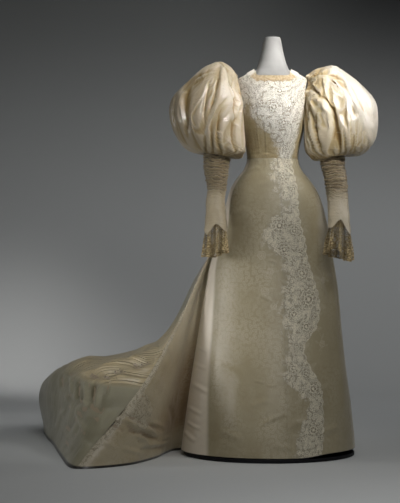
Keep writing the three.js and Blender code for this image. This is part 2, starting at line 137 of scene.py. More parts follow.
# ------------------------------------------------------------------------------------------------ sizes
WAIST_Z, HIP_Z, HEM_Z, HEM_LIFT = 1086.0, 935.0, 15.0, 11.0
EDGE_DEG, FRONT_SEAM, SIDE_SEAM, BACK_SEAM, TRAIN_SEAM, FOLD_SEAM = 84.0, -8.0, -70.0, -128.0, 128.0, 91.0
BODICE_Z, SHOULDER_Z, ARM_LOW, ARM_TOP = WAIST_Z + 1.5, 1417.0, 1262.0, 1383.0

FIGURE = table("z side front back", [
    [1080, 94, 81, 76], [1120, 98, 90, 80], [1157, 107, 104, 87], [1194, 116.5, 119, 94], [1231, 124, 129, 99],
    [1268, 130, 129, 102], [1305, 132, 121, 104], [1342, 132, 107, 102], [1365, 131, 93, 96], [1382, 127, 78, 87],
    [1396, 105, 69, 79], [1408, 84, 63, 72], [1418, 68, 57, 64], [1432, 56, 52, 56], [1446, 50, 47, 49],
    [1475, 42, 41, 42], [1505, 36, 36, 36.5], [1534, 30, 31, 31]])
NECKLINE = table("deg z lace", [[0, 1384, 18], [24, 1384.5, 17], [31, 1388, 14], [38, 1396, 12], [46, 1404, 11],
    [58, 1411, 10], [75, 1417, 9], [90, 1419, 9], [120, 1412, 10], [150, 1405, 12], [180, 1403, 14]])
SIDES = table("z right left front back", [
    [15, 340, 304, 326, 313], [80, 331, 299, 314, 304], [173, 318, 289, 299, 293], [299, 299, 273, 277, 275],
    [439, 277, 258, 248, 250], [609, 250, 243, 214, 222], [717, 226, 227, 191, 205], [760, 208, 222, 182, 199],
    [800, 191, 215, 173, 193], [842, 179, 206, 163, 187], [890, 175, 194, 152, 181], [935, 168, 180, 141, 174],
    [972, 158, 164, 129, 163], [1009, 137, 138, 114, 141], [1046, 108, 108, 97, 110], [1070, 97, 98, 88, 88], [1086, 94, 95, 82.5, 77.5]])
TRAIN = table("deg landX landY landZ browX browY browZ hemX hemY", [
    [84, -271, -25, 476, -312, -31, 200, -338, -33], [87, -262, 28, 477, -303, 30, 202, -330, 34],
    [91, -262, 62, 478, -306, 82, 203, -336, 92], [96, -283, 62, 478, -333, 72, 205, -368, 70],
    [101, -303, 34, 474, -357, 10, 203, -394, -20], [107, -317, -24, 465, -385, -95, 200, -428, -170],
    [115, -346, -94, 445, -450, -255, 200, -520, -375], [124, -380, -136, 430, -525, -320, 215, -680, -484],
    [130, -404, -72, 415, -590, -200, 265, -722, -425], [138, -415, 30, 405, -670, 0, 285, -778, -100],
    [148, -430, 170, 400, -745, 250, 285, -835, 265], [158, -435, 320, 395, -850, 560, 262, -890, 580],
    [168, -420, 450, 385, -900, 800, 205, -915, 850], [178, -360, 540, 370, -760, 1000, 190, -830, 1050],
    [190, -230, 570, 360, -500, 1040, 170, -570, 1130], [204, -95, 530, 360, -210, 900, 155, -265, 1050],
    [218, 30, 450, 380, 25, 690, 155, 15, 830], [232, 115, 350, 410, 190, 480, 165, 205, 560],
    [246, 185, 235, 445, 260, 270, 185, 287, 305], [261, 245, 95, 476, 291, 100, 201, 312, 110],
    [276, 251, -25, 476, 284, -30, 200, 302, -33]])
PIPES = table("deg width depth", [[146, 9, 22], [168, 9, 30], [192, 9, 30], [214, 9, 24], [236, 9, 14]])
PUFF = {
    "right": table("ox oz ix iz deep y", [
        [-131.5, 1384, -131.5, 1264, 50, 0], [-148, 1420, -134, 1252, 74, 0], [-172, 1444, -133, 1240, 98, 0],
        [-204, 1456, -130, 1222, 120, 0], [-262, 1434, -125, 1200, 137, -2], [-328, 1379, -121, 1178, 146, -4],
        [-382, 1324, -116, 1158, 149, -6], [-393, 1262, -112, 1138, 147, -8], [-372, 1203, -108, 1118, 137, -9],
        [-334, 1158, -106, 1103, 119, -10], [-294, 1128, -110, 1093, 96, -10], [-268, 1112, -136, 1093, 68, -10],
        [-262, 1122, -150, 1122, 54, -10]]),
    "left": table("ox oz ix iz deep y", [
        [131.5, 1384, 131.5, 1264, 50, 0], [152, 1416, 134, 1252, 74, 0], [188, 1433, 133, 1240, 98, 0],
        [232, 1440, 130, 1222, 120, 0], [292, 1408, 125, 1200, 137, -2], [348, 1362, 121, 1178, 146, -4],
        [392, 1308, 117, 1160, 149, -6], [402, 1250, 114, 1144, 149, -8], [398, 1190, 115, 1128, 141, -9],
        [378, 1143, 123, 1108, 124, -10], [335, 1115, 138, 1092, 99, -10], [290, 1108, 156, 1084, 70, -10],
        [274, 1122, 162, 1118, 54, -10]])}
PUFF_FOLDS = {
    "right": table("deg depth", [[2, 8], [30, 13], [55, 9], [83, 15], [108, 12], [131, 17], [160, 10], [192, 12], [226, 15], [260, 16], [296, 11], [332, 10]]),
    "left": table("deg depth", [[0, 8], [28, 12], [58, 14], [86, 9], [112, 17], [136, 20], [164, 13], [194, 10], [228, 15], [262, 13], [298, 15], [330, 9]])}
TOP_GATHER = 42.0
LOWER = {
    "right": table("z x y wide deep", [[1127, -205, -10, 50, 47], [1083, -206, -26, 48.5, 46], [1046, -208, -42, 45, 43],
        [1009, -207, -58, 38.5, 38], [972, -206, -74, 34.5, 35], [935, -211, -90, 35, 35], [900, -211, -103, 36.5, 36],
        [868, -210, -122, 39, 37.5], [840, -210, -134, 42, 40], [812, -210, -145, 45, 42]]),
    "left": table("z x y wide deep", [[1127, 215, -10, 50, 47], [1083, 219, -26, 46, 45], [1046, 223, -42, 42, 42],
        [1009, 229, -58, 40.5, 40], [972, 232, -74, 39.5, 38.5], [935, 234, -90, 39, 37.5], [900, 236, -103, 39, 37.5],
        [868, 236, -122, 40, 38], [840, 236, -134, 41.5, 40], [812, 236, -145, 44, 42]])}
WRIST = {
    "right": table("deg z", [[-180, 834], [-110, 832], [-75, 826], [-50, 819], [-35, 826], [0, 844], [30, 820], [50, 808], [75, 818], [110, 830], [180, 834]]),
    "left": table("deg z", [[-180, 834], [-110, 828], [-75, 815], [-55, 808], [-35, 826], [-2, 861], [25, 843], [46, 832], [75, 832], [110, 834], [180, 834]])}
FRILL = {
    "right": table("z x y wide deep flute", [[872, -210, -121, 32, 30, 0], [835, -210, -136, 36, 33, 1.5], [780, -211, -153, 41, 37, 4.5], [722, -213, -168, 43, 39, 7]]),
    "left": table("z x y wide deep flute", [[872, 236, -121, 32, 30, 0], [835, 236, -136, 36, 33, 1.5], [780, 234, -151, 46, 38, 5], [708, 231, -164, 52, 41, 8]])}
FRILL_FLUTES = 7

# ------------------------------------------------------------------------------------------------ forms
FIG = columns(FIGURE, "z")
SIDE = columns(SIDES, "z")
GORE = columns(TRAIN, "deg", monotone=False)
NECK = columns(NECKLINE, "deg")


def away(deg):
    return np.abs(np.mod(deg + 540.0, 360.0) - 180.0)


def oval(deg, side, front, back, power=2.0):
    s, c, p = sind(deg), cosd(deg), 2.0 / power
    return -side * np.sign(s) * np.abs(s) ** p, -np.where(c > 0, front, back) * np.sign(c) * np.abs(c) ** p


def body(deg, z):
    x, y = oval(deg, FIG["side"](z), FIG["front"](z), FIG["back"](z), 2.15)
    return np.stack(np.broadcast_arrays(x, y, z), -1)


def arm_cut(z):
    t = clamp((z - ARM_LOW) / (ARM_TOP - ARM_LOW), 0, 1)
    return np.sin(np.pi * t) ** 0.7


def hug(deg, z):
    x, y = oval(deg, np.where(sind(deg) > 0, SIDE["right"](z), SIDE["left"](z)), SIDE["front"](z), SIDE["back"](z))
    return np.stack(np.broadcast_arrays(x, y, z), -1)


HIP_V, LAND_V, BROW_V = (WAIST_Z - HIP_Z) / (WAIST_Z - HEM_Z), 0.62, 0.82


def train_point(deg, v):
    deg, v = np.broadcast_arrays(deg, v)
    vs = np.array([HIP_V - 0.056, HIP_V, mix(HIP_V, LAND_V, 0.5), LAND_V, BROW_V, 1.0])
    up, hip = hug(deg, np.full(deg.shape, HIP_Z + 60)), hug(deg, np.full(deg.shape, HIP_Z))
    land = np.stack([GORE[k](deg) for k in ("landX", "landY", "landZ")], -1)
    brow = np.stack([GORE[k](deg) for k in ("browX", "browY", "browZ")], -1)
    hem = np.stack([GORE["hemX"](deg), GORE["hemY"](deg), np.zeros(deg.shape)], -1)
    ps = np.stack([up, hip, (hip + land) / 2, land, brow, hem], -2)
    h = np.diff(vs)
    d = np.diff(ps, axis=-2) / h[:, None]
    m = np.empty(ps.shape)
    m[..., 0, :], m[..., -1, :] = d[..., 0, :], d[..., -1, :]
    for i in range(1, 5):
        m[..., i, :] = (d[..., i - 1, :] * h[i] + d[..., i, :] * h[i - 1]) / (h[i - 1] + h[i])
    x = clamp(v, vs[0], 1.0)
    i = clamp(np.searchsorted(vs, x, side="right") - 1, 0, 4).astype(int)
    t = ((x - vs[i]) / h[i])[..., None]
    pick = lambda a, k: np.take_along_axis(a, k[..., None, None] * np.ones((1,) * k.ndim + (1, 3), int), axis=-2)[..., 0, :]
    hh = h[i][..., None]
    out = (2 * t**3 - 3 * t**2 + 1) * pick(ps, i) + (t**3 - 2 * t**2 + t) * hh * pick(m, i) + (3 * t**2 - 2 * t**3) * pick(ps, i + 1) + (t**3 - t**2) * hh * pick(m, i + 1)
    low = hug(deg, mix(WAIST_Z, HIP_Z, clamp(v / HIP_V, 0, 1)))
    return np.where((v <= HIP_V)[..., None], low, out)


def pipes(deg, v):
    grow = ramp(0.03, 0.3, v) * (1 - ramp(0.5, 0.86, v))
    return sum(p["depth"] * grow * np.exp(-(((deg - p["deg"]) / p["width"]) ** 2) * 2.2) for p in PIPES)


def skirt_point(deg, v):
    deg, v = np.broadcast_arrays(np.asarray(deg, float), np.asarray(v, float))
    front = hug(deg, mix(WAIST_Z, HEM_Z + HEM_LIFT * (1 - ramp(-44, -14, deg)), v))
    around = np.where(deg < -EDGE_DEG, deg + 360, deg)
    share = np.where(around > 180, 1 - ramp(236, 276, around), ramp(EDGE_DEG, EDGE_DEG + 7, around))[..., None]
    p = mix(front, train_point(around, v), share)
    out = pipes(around, v) * (share[..., 0] > 0)
    p[..., 0] -= out * sind(around)
    p[..., 1] -= out * cosd(around)
    return p


def fold_lines(which):
    f, out = PUFF_FOLDS[which], []
    for i, row in enumerate(f):
        nxt = f[(i + 1) % len(f)]
        gap = ((nxt["deg"] - row["deg"] + 360) % 360) / 2
        out += [(row["deg"], 0.0), (row["deg"] + gap, (row["depth"] + nxt["depth"]) / 2)]
    return out


def fold_sink(which, deg):
    lines = fold_lines(which)
    xs = np.array([l[0] for l in lines] + [lines[0][0] + 360.0])
    ys = np.array([l[1] for l in lines] + [lines[0][1]])
    d = np.mod(deg - xs[0], 360.0) + xs[0]
    i = clamp(np.searchsorted(xs, d, side="right") - 1, 0, len(xs) - 2).astype(int)
    t = (d - xs[i]) / (xs[i + 1] - xs[i])
    return mix(ys[i], ys[i + 1], t * t * (3 - 2 * t))


def rings(rows):
    n = len(rows)
    return {k: curve([i / (n - 1) for i in range(n)], [r[k] for r in rows]) for k in rows[0]}


PUFF_RINGS = {w: rings(PUFF[w]) for w in PUFF}


def puff_point(which, deg, v, sink=None):
    c = PUFF_RINGS[which]
    o, i = np.stack([c["ox"](v), c["oz"](v)], -1), np.stack([c["ix"](v), c["iz"](v)], -1)
    a = np.radians(deg - TOP_GATHER * sind(deg) * clamp(1 - v, 0, 1) ** 1.6)
    env = np.sin(np.pi * clamp(v, 0, 1)) ** 0.7
    sink = (fold_sink(which, deg) if sink is None else sink) * env
    half = np.hypot(o[..., 0] - i[..., 0], o[..., 1] - i[..., 1]) / 2
    full = 1 - sink / np.maximum(60, np.minimum(half, c["deep"](v)))
    u = (0.5 + 0.5 * np.cos(a) * full)[..., None]
    xz = mix(i, o, u)
    return np.stack([xz[..., 0], c["y"](v) - c["deep"](v) * np.sin(a) * full, xz[..., 1]], -1)


LOWER_AT = {w: columns(LOWER[w], "z", False) for w in LOWER}
WRIST_AT = {w: columns(WRIST[w], "deg")["z"] for w in WRIST}
FRILL_AT = {w: columns(FRILL[w], "z", False) for w in FRILL}


def tube_at(c, deg, z, extra=0.0):
    w, d = c["wide"](z) + extra, c["deep"](z) + extra
    return np.stack(np.broadcast_arrays(c["x"](z) - w * sind(deg), c["y"](z) - d * cosd(deg), z), -1)


def frill_point(which, deg, v):
    rows = FRILL[which]
    z = mix(rows[0]["z"], rows[-1]["z"], v)
    c = FRILL_AT[which]
    return tube_at(c, deg, z, c["flute"](z) * np.cos(FRILL_FLUTES * np.radians(deg) + 0.6))


# ------------------------------------------------------------------------------------------------ meshes
def unit(v):
    return v / np.maximum(np.linalg.norm(v, axis=-1, keepdims=True), 1e-12)


def normals(P, wrap=False):
    """Outward normals of a grid whose columns run towards the wearer's left and whose rows run down."""
    if wrap:
        Q = np.concatenate([P[-2:-1], P, P[1:2]], 0)
        across = Q[2:] - Q[:-2]
    else:
        across = np.gradient(P, axis=0)
    return unit(np.cross(np.gradient(P, axis=1), across))


def push(P, h, wrap=False):
    return P + normals(P, wrap) * np.asarray(h)[..., None]


def cloth_uv(P, column=0, row=0):
    """Lengths along the cloth in millimetres: across from one column and down from one row."""
    du = np.linalg.norm(np.diff(P, axis=0), axis=-1)
    dv = np.linalg.norm(np.diff(P, axis=1), axis=-1)
    u = np.concatenate([np.zeros((1, P.shape[1])), np.cumsum(du, 0)], 0)
    v = np.concatenate([np.zeros((P.shape[0], 1)), np.cumsum(dv, 1)], 1)
    return u - u[column : column + 1 or None], v - v[:, row : row + 1]


def crease(P, rows, flat=(0, 2)):
    """Soft ridges (height over 0) and troughs along straight lines in a front view, or along other axes."""
    a, b = P[..., flat[0]], P[..., flat[1]]
    h = np.zeros(a.shape)
    for r in rows:
        ax, ay = r["x1"] - r["x0"], r["z1"] - r["z0"]
        length = math.hypot(ax, ay)
        t = ((a - r["x0"]) * ax + (b - r["z0"]) * ay) / length**2
        bow = r.get("bow", 0) * 4 * clamp(t, 0, 1) * (1 - clamp(t, 0, 1))
        d = ((a - r["x0"]) * -ay + (b - r["z0"]) * ax) / length - bow
        over = np.maximum(0, np.abs(t - 0.5) - 0.5) * length
        k = np.exp(-((np.hypot(d, over) / r["wide"]) ** 2)) - 0.35 * np.exp(-((np.hypot(np.abs(d) - 1.7 * r["wide"], over) / r["wide"]) ** 2))
        h += r["high"] * k * clamp(4 * t * (1 - t), 0, 1) ** 0.5
    return h


MESH_TRIS = {}


def make_object(name, verts, faces, uvs=(), attrs=(), material=None, smooth=True, sharp=50):
    """faces: a list of (F, k) index arrays; uvs: (name, [(F, k, 2) arrays]); attrs: (name, per-vertex values)."""
    me = bpy.data.meshes.new(name)
    me.vertices.add(len(verts))
    me.vertices.foreach_set("co", np.ascontiguousarray(verts, np.float32).ravel())
    loops = np.concatenate([f.ravel() for f in faces]).astype(np.int32)
    sizes = np.concatenate([np.full(len(f), f.shape[1]) for f in faces])
    me.loops.add(len(loops))
    me.loops.foreach_set("vertex_index", loops)
    me.polygons.add(len(sizes))
    me.polygons.foreach_set("loop_start", np.concatenate([[0], np.cumsum(sizes)[:-1]]).astype(np.int32))
    me.update(calc_edges=True)
    for uv_name, parts in uvs:
        layer = me.uv_layers.new(name=uv_name)
        layer.data.foreach_set("uv", np.concatenate([p.reshape(-1, 2) for p in parts]).astype(np.float32).ravel())
    for at_name, values in attrs:
        at = me.attributes.new(at_name, "FLOAT", "POINT")
        at.data.foreach_set("value", np.ascontiguousarray(values, np.float32).ravel())
    me.polygons.foreach_set("use_smooth", np.full(len(sizes), smooth))
    if smooth and sharp:
        me.set_sharp_from_angle(angle=math.radians(sharp))
    me.validate()
    ob = bpy.data.objects.new(name, me)
    bpy.context.scene.collection.objects.link(ob)
    if material:
        me.materials.append(material)
    MESH_TRIS[name] = int((sizes - 2).sum())
    return ob


def bridge(fine, coarse, flip):
    """Triangles between a line of vertices and a coarser one beside it."""
    s = (len(fine) - 1) // (len(coarse) - 1)
    tri, m = [], s // 2
    for k in range(len(coarse) - 1):
        f, a, b = fine[k * s : (k + 1) * s + 1], coarse[k], coarse[k + 1]
        tri += [(f[t], f[t + 1], a) for t in range(m)] + [(f[m], b, a)] + [(f[t], f[t + 1], b) for t in range(m, s)]
    tri = np.array(tri)
    return tri[:, ::-1] if flip else tri


def shell(name, P, thick, material, uv, wrap=False, step=3, attrs=(), floor=False, sharp=50, inner=None):
    """A closed thin wall on a grid of points: the grid is its outer face. P in mm, (columns, rows, 3)."""
    nu, nv = P.shape[:2]
    n = normals(P, wrap)
    inner = P - n * thick if inner is None else inner
    P = P.copy()
    if floor:
        P[..., 2] = np.maximum(P[..., 2], 0.15)
        inner[..., 2] = np.maximum(inner[..., 2], 0.1)
    cu = nu - 1 if wrap else nu
    I, J = np.arange(0, nu, step), np.arange(0, nv, step)
    assert I[-1] == nu - 1 and J[-1] == nv - 1, (name, nu, nv)
    ci = len(I) - 1 if wrap else len(I)
    oid = lambda i, j: (i % cu) * nv + j
    base = cu * nv
    iid = lambda i, j: base + (i % ci) * len(J) + j
    verts = np.concatenate([P[:cu].reshape(-1, 3), inner[I[:ci]][:, J].reshape(-1, 3)]) * MM
    gi, gj = np.meshgrid(np.arange(nu - 1), np.arange(nv - 1), indexing="ij")
    gi, gj = gi.ravel(), gj.ravel()
    outer = np.stack([oid(gi, gj), oid(gi, gj + 1), oid(gi + 1, gj + 1), oid(gi + 1, gj)], 1)
    hi, hj = np.meshgrid(np.arange(len(I) - 1), np.arange(len(J) - 1), indexing="ij")
    hi, hj = hi.ravel(), hj.ravel()
    inward = np.stack([iid(hi, hj), iid(hi + 1, hj), iid(hi + 1, hj + 1), iid(hi, hj + 1)], 1)
    # places in the bake map: the outer face large, the inner small, the rims as strips between them
    def square(ii, jj, top):
        y0, y1 = (0.23, 0.99) if top else (0.01, 0.13)
        return np.stack([0.01 + 0.98 * ii, y1 - (y1 - y0) * jj], -1)
    bake = [square(np.stack([gi, gi, gi + 1, gi + 1], 1) / (nu - 1), np.stack([gj, gj + 1, gj + 1, gj], 1) / (nv - 1), True),
            square(np.stack([hi, hi + 1, hi + 1, hi], 1) / (len(I) - 1), np.stack([hj, hj, hj + 1, hj + 1], 1) / (len(J) - 1), False)]
    cuv = np.stack(uv, -1) * MM
    cloth = [np.stack([cuv[gi, gj], cuv[gi, gj + 1], cuv[gi + 1, gj + 1], cuv[gi + 1, gj]], 1),
             np.stack([cuv[I[hi], J[hj]], cuv[I[hi + 1], J[hj]], cuv[I[hi + 1], J[hj + 1]], cuv[I[hi], J[hj + 1]]], 1)]
    faces = [outer, inward]
    rims = [([(i, 0) for i in range(nu)], [(i, 0) for i in range(len(I))], False), ([(i, nv - 1) for i in range(nu)], [(i, len(J) - 1) for i in range(len(I))], True)]
    if not wrap:
        rims += [([(0, j) for j in range(nv)], [(0, j) for j in range(len(J))], True), ([(nu - 1, j) for j in range(nv)], [(len(I) - 1, j) for j in range(len(J))], False)]
    for k, (fine, coarse, flip) in enumerate(rims):
        local = bridge(list(range(len(fine))), [len(fine) + c for c in range(len(coarse))], flip)
        f, c = np.array(fine), np.array(coarse)
        ids = np.concatenate([oid(f[:, 0], f[:, 1]), iid(c[:, 0], c[:, 1])])
        faces.append(ids[local][:, ::-1])
        y = 0.145 + 0.02 * k
        pos = np.concatenate([np.stack([np.linspace(0.01, 0.99, len(f)), np.full(len(f), y + 0.012)], 1), np.stack([np.linspace(0.01, 0.99, len(c)), np.full(len(c), y)], 1)])
        bake.append(pos[local][:, ::-1])
        cc = np.concatenate([cuv[f[:, 0], f[:, 1]], cuv[I[c[:, 0]], J[c[:, 1]]]])
        cloth.append(cc[local][:, ::-1])
    at = [(k, np.concatenate([a[:cu].ravel(), a[I[:ci]][:, J].ravel()])) for k, a in attrs]
    inside = np.concatenate([np.zeros(cu * nv), np.ones(ci * len(J))])
    return make_object(name, verts, faces, [("OFBake", bake), ("Cloth", cloth)], at + [("inside", inside)], material, sharp=sharp)


def soften(P, times, wrap=True):
    """A grid, averaged with its neighbours over and over."""
    Q = P[:-1].copy() if wrap else P.copy()
    for _ in range(times):
        R = (np.roll(Q, 1, 0) + np.roll(Q, -1, 0) + 2 * Q) / 4
        if not wrap:
            R[0], R[-1] = Q[0], Q[-1]
        Q = R
        Q[:, 1:-1] = (Q[:, 2:] + Q[:, :-2] + 2 * Q[:, 1:-1]) / 4
    return np.concatenate([Q, Q[:1]]) if wrap else Q


def lining_of(P, middle, reach=3, gap=1.6):
    """The inner face of a deeply folded tube: the nearest the cloth comes to the tube's middle line round each point."""
    nu, nv = P.shape[:2]
    out = P - middle
    r = np.linalg.norm(out, axis=-1)
    low = r.copy()
    for j in range(-reach, reach + 1):
        low = np.minimum(low, r[:, np.clip(np.arange(nv) + j, 0, nv - 1)])
    near = low.copy()
    for i in range(-reach, reach + 1):
        near = np.minimum(near, low[(np.arange(nu) + i) % (nu - 1)])
    ends = np.minimum(np.arange(nv), np.arange(nv)[::-1])
    near = mix(r, near, ramp(0, 3, ends)[None, :]) - gap
    return middle + out * (near / np.maximum(r, 1e-6))[..., None]


def area_of(P):
    a = np.linalg.norm(np.cross(P[1:, :-1] - P[:-1, :-1], P[:-1, 1:] - P[:-1, :-1]), axis=-1)
    b = np.linalg.norm(np.cross(P[1:, 1:] - P[1:, :-1], P[1:, 1:] - P[:-1, 1:]), axis=-1)
    return float((a + b).sum() / 2) * MM * MM


# ------------------------------------------------------------------------------------------------ materials
class Tree:
    """Short names for shader nodes."""

    def __init__(self, name):
        self.mat = bpy.data.materials.new(name)
        self.mat.use_nodes = True
        self.nt = self.mat.node_tree
        self.nt.nodes.clear()
        self.out = self.nt.nodes.new("ShaderNodeOutputMaterial")
        self.bsdf = self.nt.nodes.new("ShaderNodeBsdfPrincipled")
        self.nt.links.new(self.bsdf.outputs[0], self.out.inputs[0])

    def put(self, socket, value):
        if hasattr(value, "is_linked") or isinstance(value, bpy.types.NodeSocket):
            self.nt.links.new(value, socket)
        elif value is not None:
            socket.default_value = value

    def node(self, kind, out=0, props=None, **inputs):
        n = self.nt.nodes.new("ShaderNode" + kind)
        for k, v in (props or {}).items():
            setattr(n, k, v)
        for k, v in inputs.items():
            self.put(n.inputs[int(k[1:])] if k[0] == "i" and k[1:].isdigit() else n.inputs[k], v)
        return n.outputs[out]

    def math(self, op, a, b=None, c=None, clamped=False):
        n = self.nt.nodes.new("ShaderNodeMath")
        n.operation, n.use_clamp = op, clamped
        for s, v in zip(n.inputs, (a, b, c)):
            self.put(s, v)
        return n.outputs[0]

    def smooth(self, x, a, b, lo=0.0, hi=1.0):
        n = self.nt.nodes.new("ShaderNodeMapRange")
        n.interpolation_type = "SMOOTHSTEP"
        for s, v in zip(n.inputs[:5], (x, a, b, lo, hi)):
            self.put(s, v)
        return n.outputs[0]

    def mix(self, fac, a, b, blend="MIX"):
        n = self.nt.nodes.new("ShaderNodeMix")
        n.data_type, n.blend_type = "RGBA", blend
        self.put(n.inputs[0], fac)
        self.put(n.inputs[6], (*a, 1) if isinstance(a, tuple) and len(a) == 3 else a)
        self.put(n.inputs[7], (*b, 1) if isinstance(b, tuple) and len(b) == 3 else b)
        return n.outputs[2]

    def attr(self, name):
        n = self.nt.nodes.new("ShaderNodeAttribute")
        n.attribute_name = name
        return n.outputs["Fac"]

    def uv(self, name="Cloth"):
        n = self.nt.nodes.new("ShaderNodeUVMap")
        n.uv_map = name
        return n.outputs[0]

    def noise(self, vector, scale, detail=2.0, rough=0.5, stretch=None, kind="3D", distortion=0.0):
        if stretch:
            vector = self.node("Mapping", props={}, Vector=vector, Scale=stretch)
        n = self.nt.nodes.new("ShaderNodeTexNoise")
        n.noise_dimensions = kind
        self.put(n.inputs["Vector"], vector)
        for k, v in (("Scale", scale), ("Detail", detail), ("Roughness", rough), ("Distortion", distortion)):
            self.put(n.inputs[k], v)
        return n.outputs["Fac"]

    def bump(self, height, distance, strength=1.0, normal=None):
        n = self.nt.nodes.new("ShaderNodeBump")
        for k, v in (("Height", height), ("Distance", distance), ("Strength", strength)):
            self.put(n.inputs[k], v)
        if normal is not None:
            self.put(n.inputs["Normal"], normal)
        return n.outputs[0]

    def set(self, **values):
        for k, v in values.items():
            self.put(self.bsdf.inputs[k.replace("_", " ")], (*v, 1.0) if isinstance(v, tuple) and len(v) == 3 else v)


def satin(name, base, shade, rough=0.42, sheen=0.25, lining=(0.36, 0.29, 0.2), brocade=None, wrinkle=0.4, bare_strip_sheen=None, ruche=0.0, gathers=0.0, gloss=0.5, deep=None, lit_colour=None, crest_highlight=None):
    """Silk satin: fine warp and weft, slubs, soft crumple and uneven ageing; brocade adds the woven pattern. Options
    paint light and shade into the colour: shade in folds and ruching, highlight on crests, sheen on the bare strip,
    light on lit sides.
    """
    t = Tree(name)
    uv = t.uv()
    age = t.noise(uv, 3.2, 3, 0.55)
    patch = t.noise(uv, 11.0, 4, 0.6)
    slub = t.noise(uv, 90.0, 2, 0.6, stretch=(1.0, 9.0, 1.0))
    rib = t.noise(uv, 70.0, 2, 0.6, stretch=(7.0, 0.7, 1.0))
    warp = t.node("TexWave", 1, {"wave_type": "BANDS", "bands_direction": "X"}, Vector=uv, Scale=420.0)
    weft = t.node("TexWave", 1, {"wave_type": "BANDS", "bands_direction": "Y"}, Vector=uv, Scale=300.0)
    weave = t.math("ADD", t.math("MULTIPLY", warp, 0.6), t.math("MULTIPLY", weft, 0.4))
    colour = t.mix(t.smooth(age, 0.35, 0.7), base, shade)
    colour = t.mix(t.smooth(patch, 0.45, 0.75, 0.0, 0.35), colour, tuple(c * k for c, k in zip(shade, (0.9, 0.84, 0.72))))
    colour = t.mix(t.math("MULTIPLY", t.smooth(slub, 0.4, 0.7), 0.24), colour, tuple(min(1, c * 1.18) for c in base))
    colour = t.mix(t.math("MULTIPLY", t.smooth(rib, 0.35, 0.7), 0.2), colour, tuple(c * 0.8 for c in shade))
    soft = t.noise(uv, 26.0, 3, 0.5, stretch=(1.0, 0.6, 1.0))
    height = t.math("ADD", t.math("MULTIPLY", soft, wrinkle), t.math("ADD", t.math("MULTIPLY", slub, 0.05), t.math("MULTIPLY", weave, 0.03)))
    roughness = t.math("ADD", rough - 0.06, t.math("MULTIPLY", patch, 0.12))
    normal = t.bump(height, 0.0022, 0.8)
    if deep:  # painted shade: the troughs darkened towards golden brown for their shade and the silk's own reflections in them; painted highlight: the crests made paler
        painted_shading = t.attr("painted_shading")
        colour = t.mix(t.smooth(painted_shading, 0.05, 0.9, 0.0, 0.85), colour, deep)
        colour = t.mix(t.smooth(painted_shading, 0.0, -0.6, 0.0, 0.6 if crest_highlight else 0.5), colour, crest_highlight or tuple(min(0.86, c * 1.3) for c in base))
    if gathers:  # fine gathers that run along the sleeve
        fine = t.noise(uv, 46.0, 1, 0.5, stretch=(1.0, 0.07, 1.0), distortion=0.05)
        long = t.noise(uv, 22.0, 1, 0.5, stretch=(1.0, 0.11, 1.0), distortion=0.1)
        fine = t.math("ABSOLUTE", t.math("MULTIPLY", t.math("SUBTRACT", fine, 0.5), 6.0))
        long = t.math("ABSOLUTE", t.math("MULTIPLY", t.math("SUBTRACT", long, 0.5), 5.0))
        grain = t.math("MULTIPLY", t.math("ADD", t.math("MULTIPLY", fine, 0.4), long), t.attr("gathered"))
        normal = t.bump(grain, -0.003 * gathers, 0.9, normal)
    if lit_colour:  # painted light: paler where the lamps fall on the silk, on lit sides and tops
        colour = t.mix(t.attr("painted_light"), colour, lit_colour)
    if bare_strip_sheen:  # the bare strip beside the pressed edge: unwoven satin, its colour lightened as painted sheen
        colour = t.mix(t.smooth(t.attr("show"), 0.75, 0.15), colour, bare_strip_sheen)
    if ruche:  # small gathers that run round the arm; their troughs and the ruched part under the puff darkened as painted shade
        tight = t.noise(uv, 16.0, 3, 0.6, stretch=(1.0, 7.5, 1.0), distortion=0.6)
        tight = t.math("SUBTRACT", 1.0, t.math("ABSOLUTE", t.math("MULTIPLY", t.math("SUBTRACT", tight, 0.5), 5.0)))
        tight = t.math("MULTIPLY", tight, t.attr("ruched"))
        normal = t.bump(tight, 0.0035 * ruche, 0.9, normal)
        colour = t.mix(t.smooth(tight, 0.25, -0.5, 0.0, 0.5), colour, tuple(c * 0.55 for c in shade))
        colour = t.mix(t.smooth(t.attr("ruched"), 0.35, 0.95, 0.0, 0.4), colour, tuple(c * 0.5 for c in shade))
    if brocade:
        cream, dark, raised = pattern(t, uv)
        colour = t.mix(t.math("MULTIPLY", dark, brocade["dark_mix"]), colour, brocade["dark"])
        thread = t.mix(t.smooth(t.noise(uv, 330.0, 2, 0.6), 0.35, 0.7), brocade["thread"], tuple(c * 0.8 for c in brocade["thread"]))
        colour = t.mix(cream, colour, thread)
        roughness = t.mix(cream, t.node("CombineColor", i0=roughness, i1=roughness, i2=roughness), (0.62, 0.62, 0.62))
        roughness = t.node("SeparateColor", i0=roughness)
        normal = t.bump(raised, 0.0009, 0.9, normal)
    inside = t.attr("inside")
    colour = t.mix(t.smooth(inside, 0.3, 0.7), colour, lining)
    # a near-black band along the very hem edge, at the floor
    hem = t.attr("hem")
    colour = t.mix(t.smooth(hem, 0.5, 0.9), colour, (0.02, 0.018, 0.015))
    t.set(Base_Color=colour, Roughness=roughness, Normal=normal, IOR=1.5, Specular_IOR_Level=gloss, Sheen_Weight=sheen, Sheen_Roughness=0.35, Sheen_Tint=(1.0, 0.96, 0.88))
    return t.mat


def within_(t, inside, near):
    """1 inside a flower, where the ground's own net stops."""
    return t.math("MULTIPLY", inside, t.smooth(near, 1.06, 1.0))


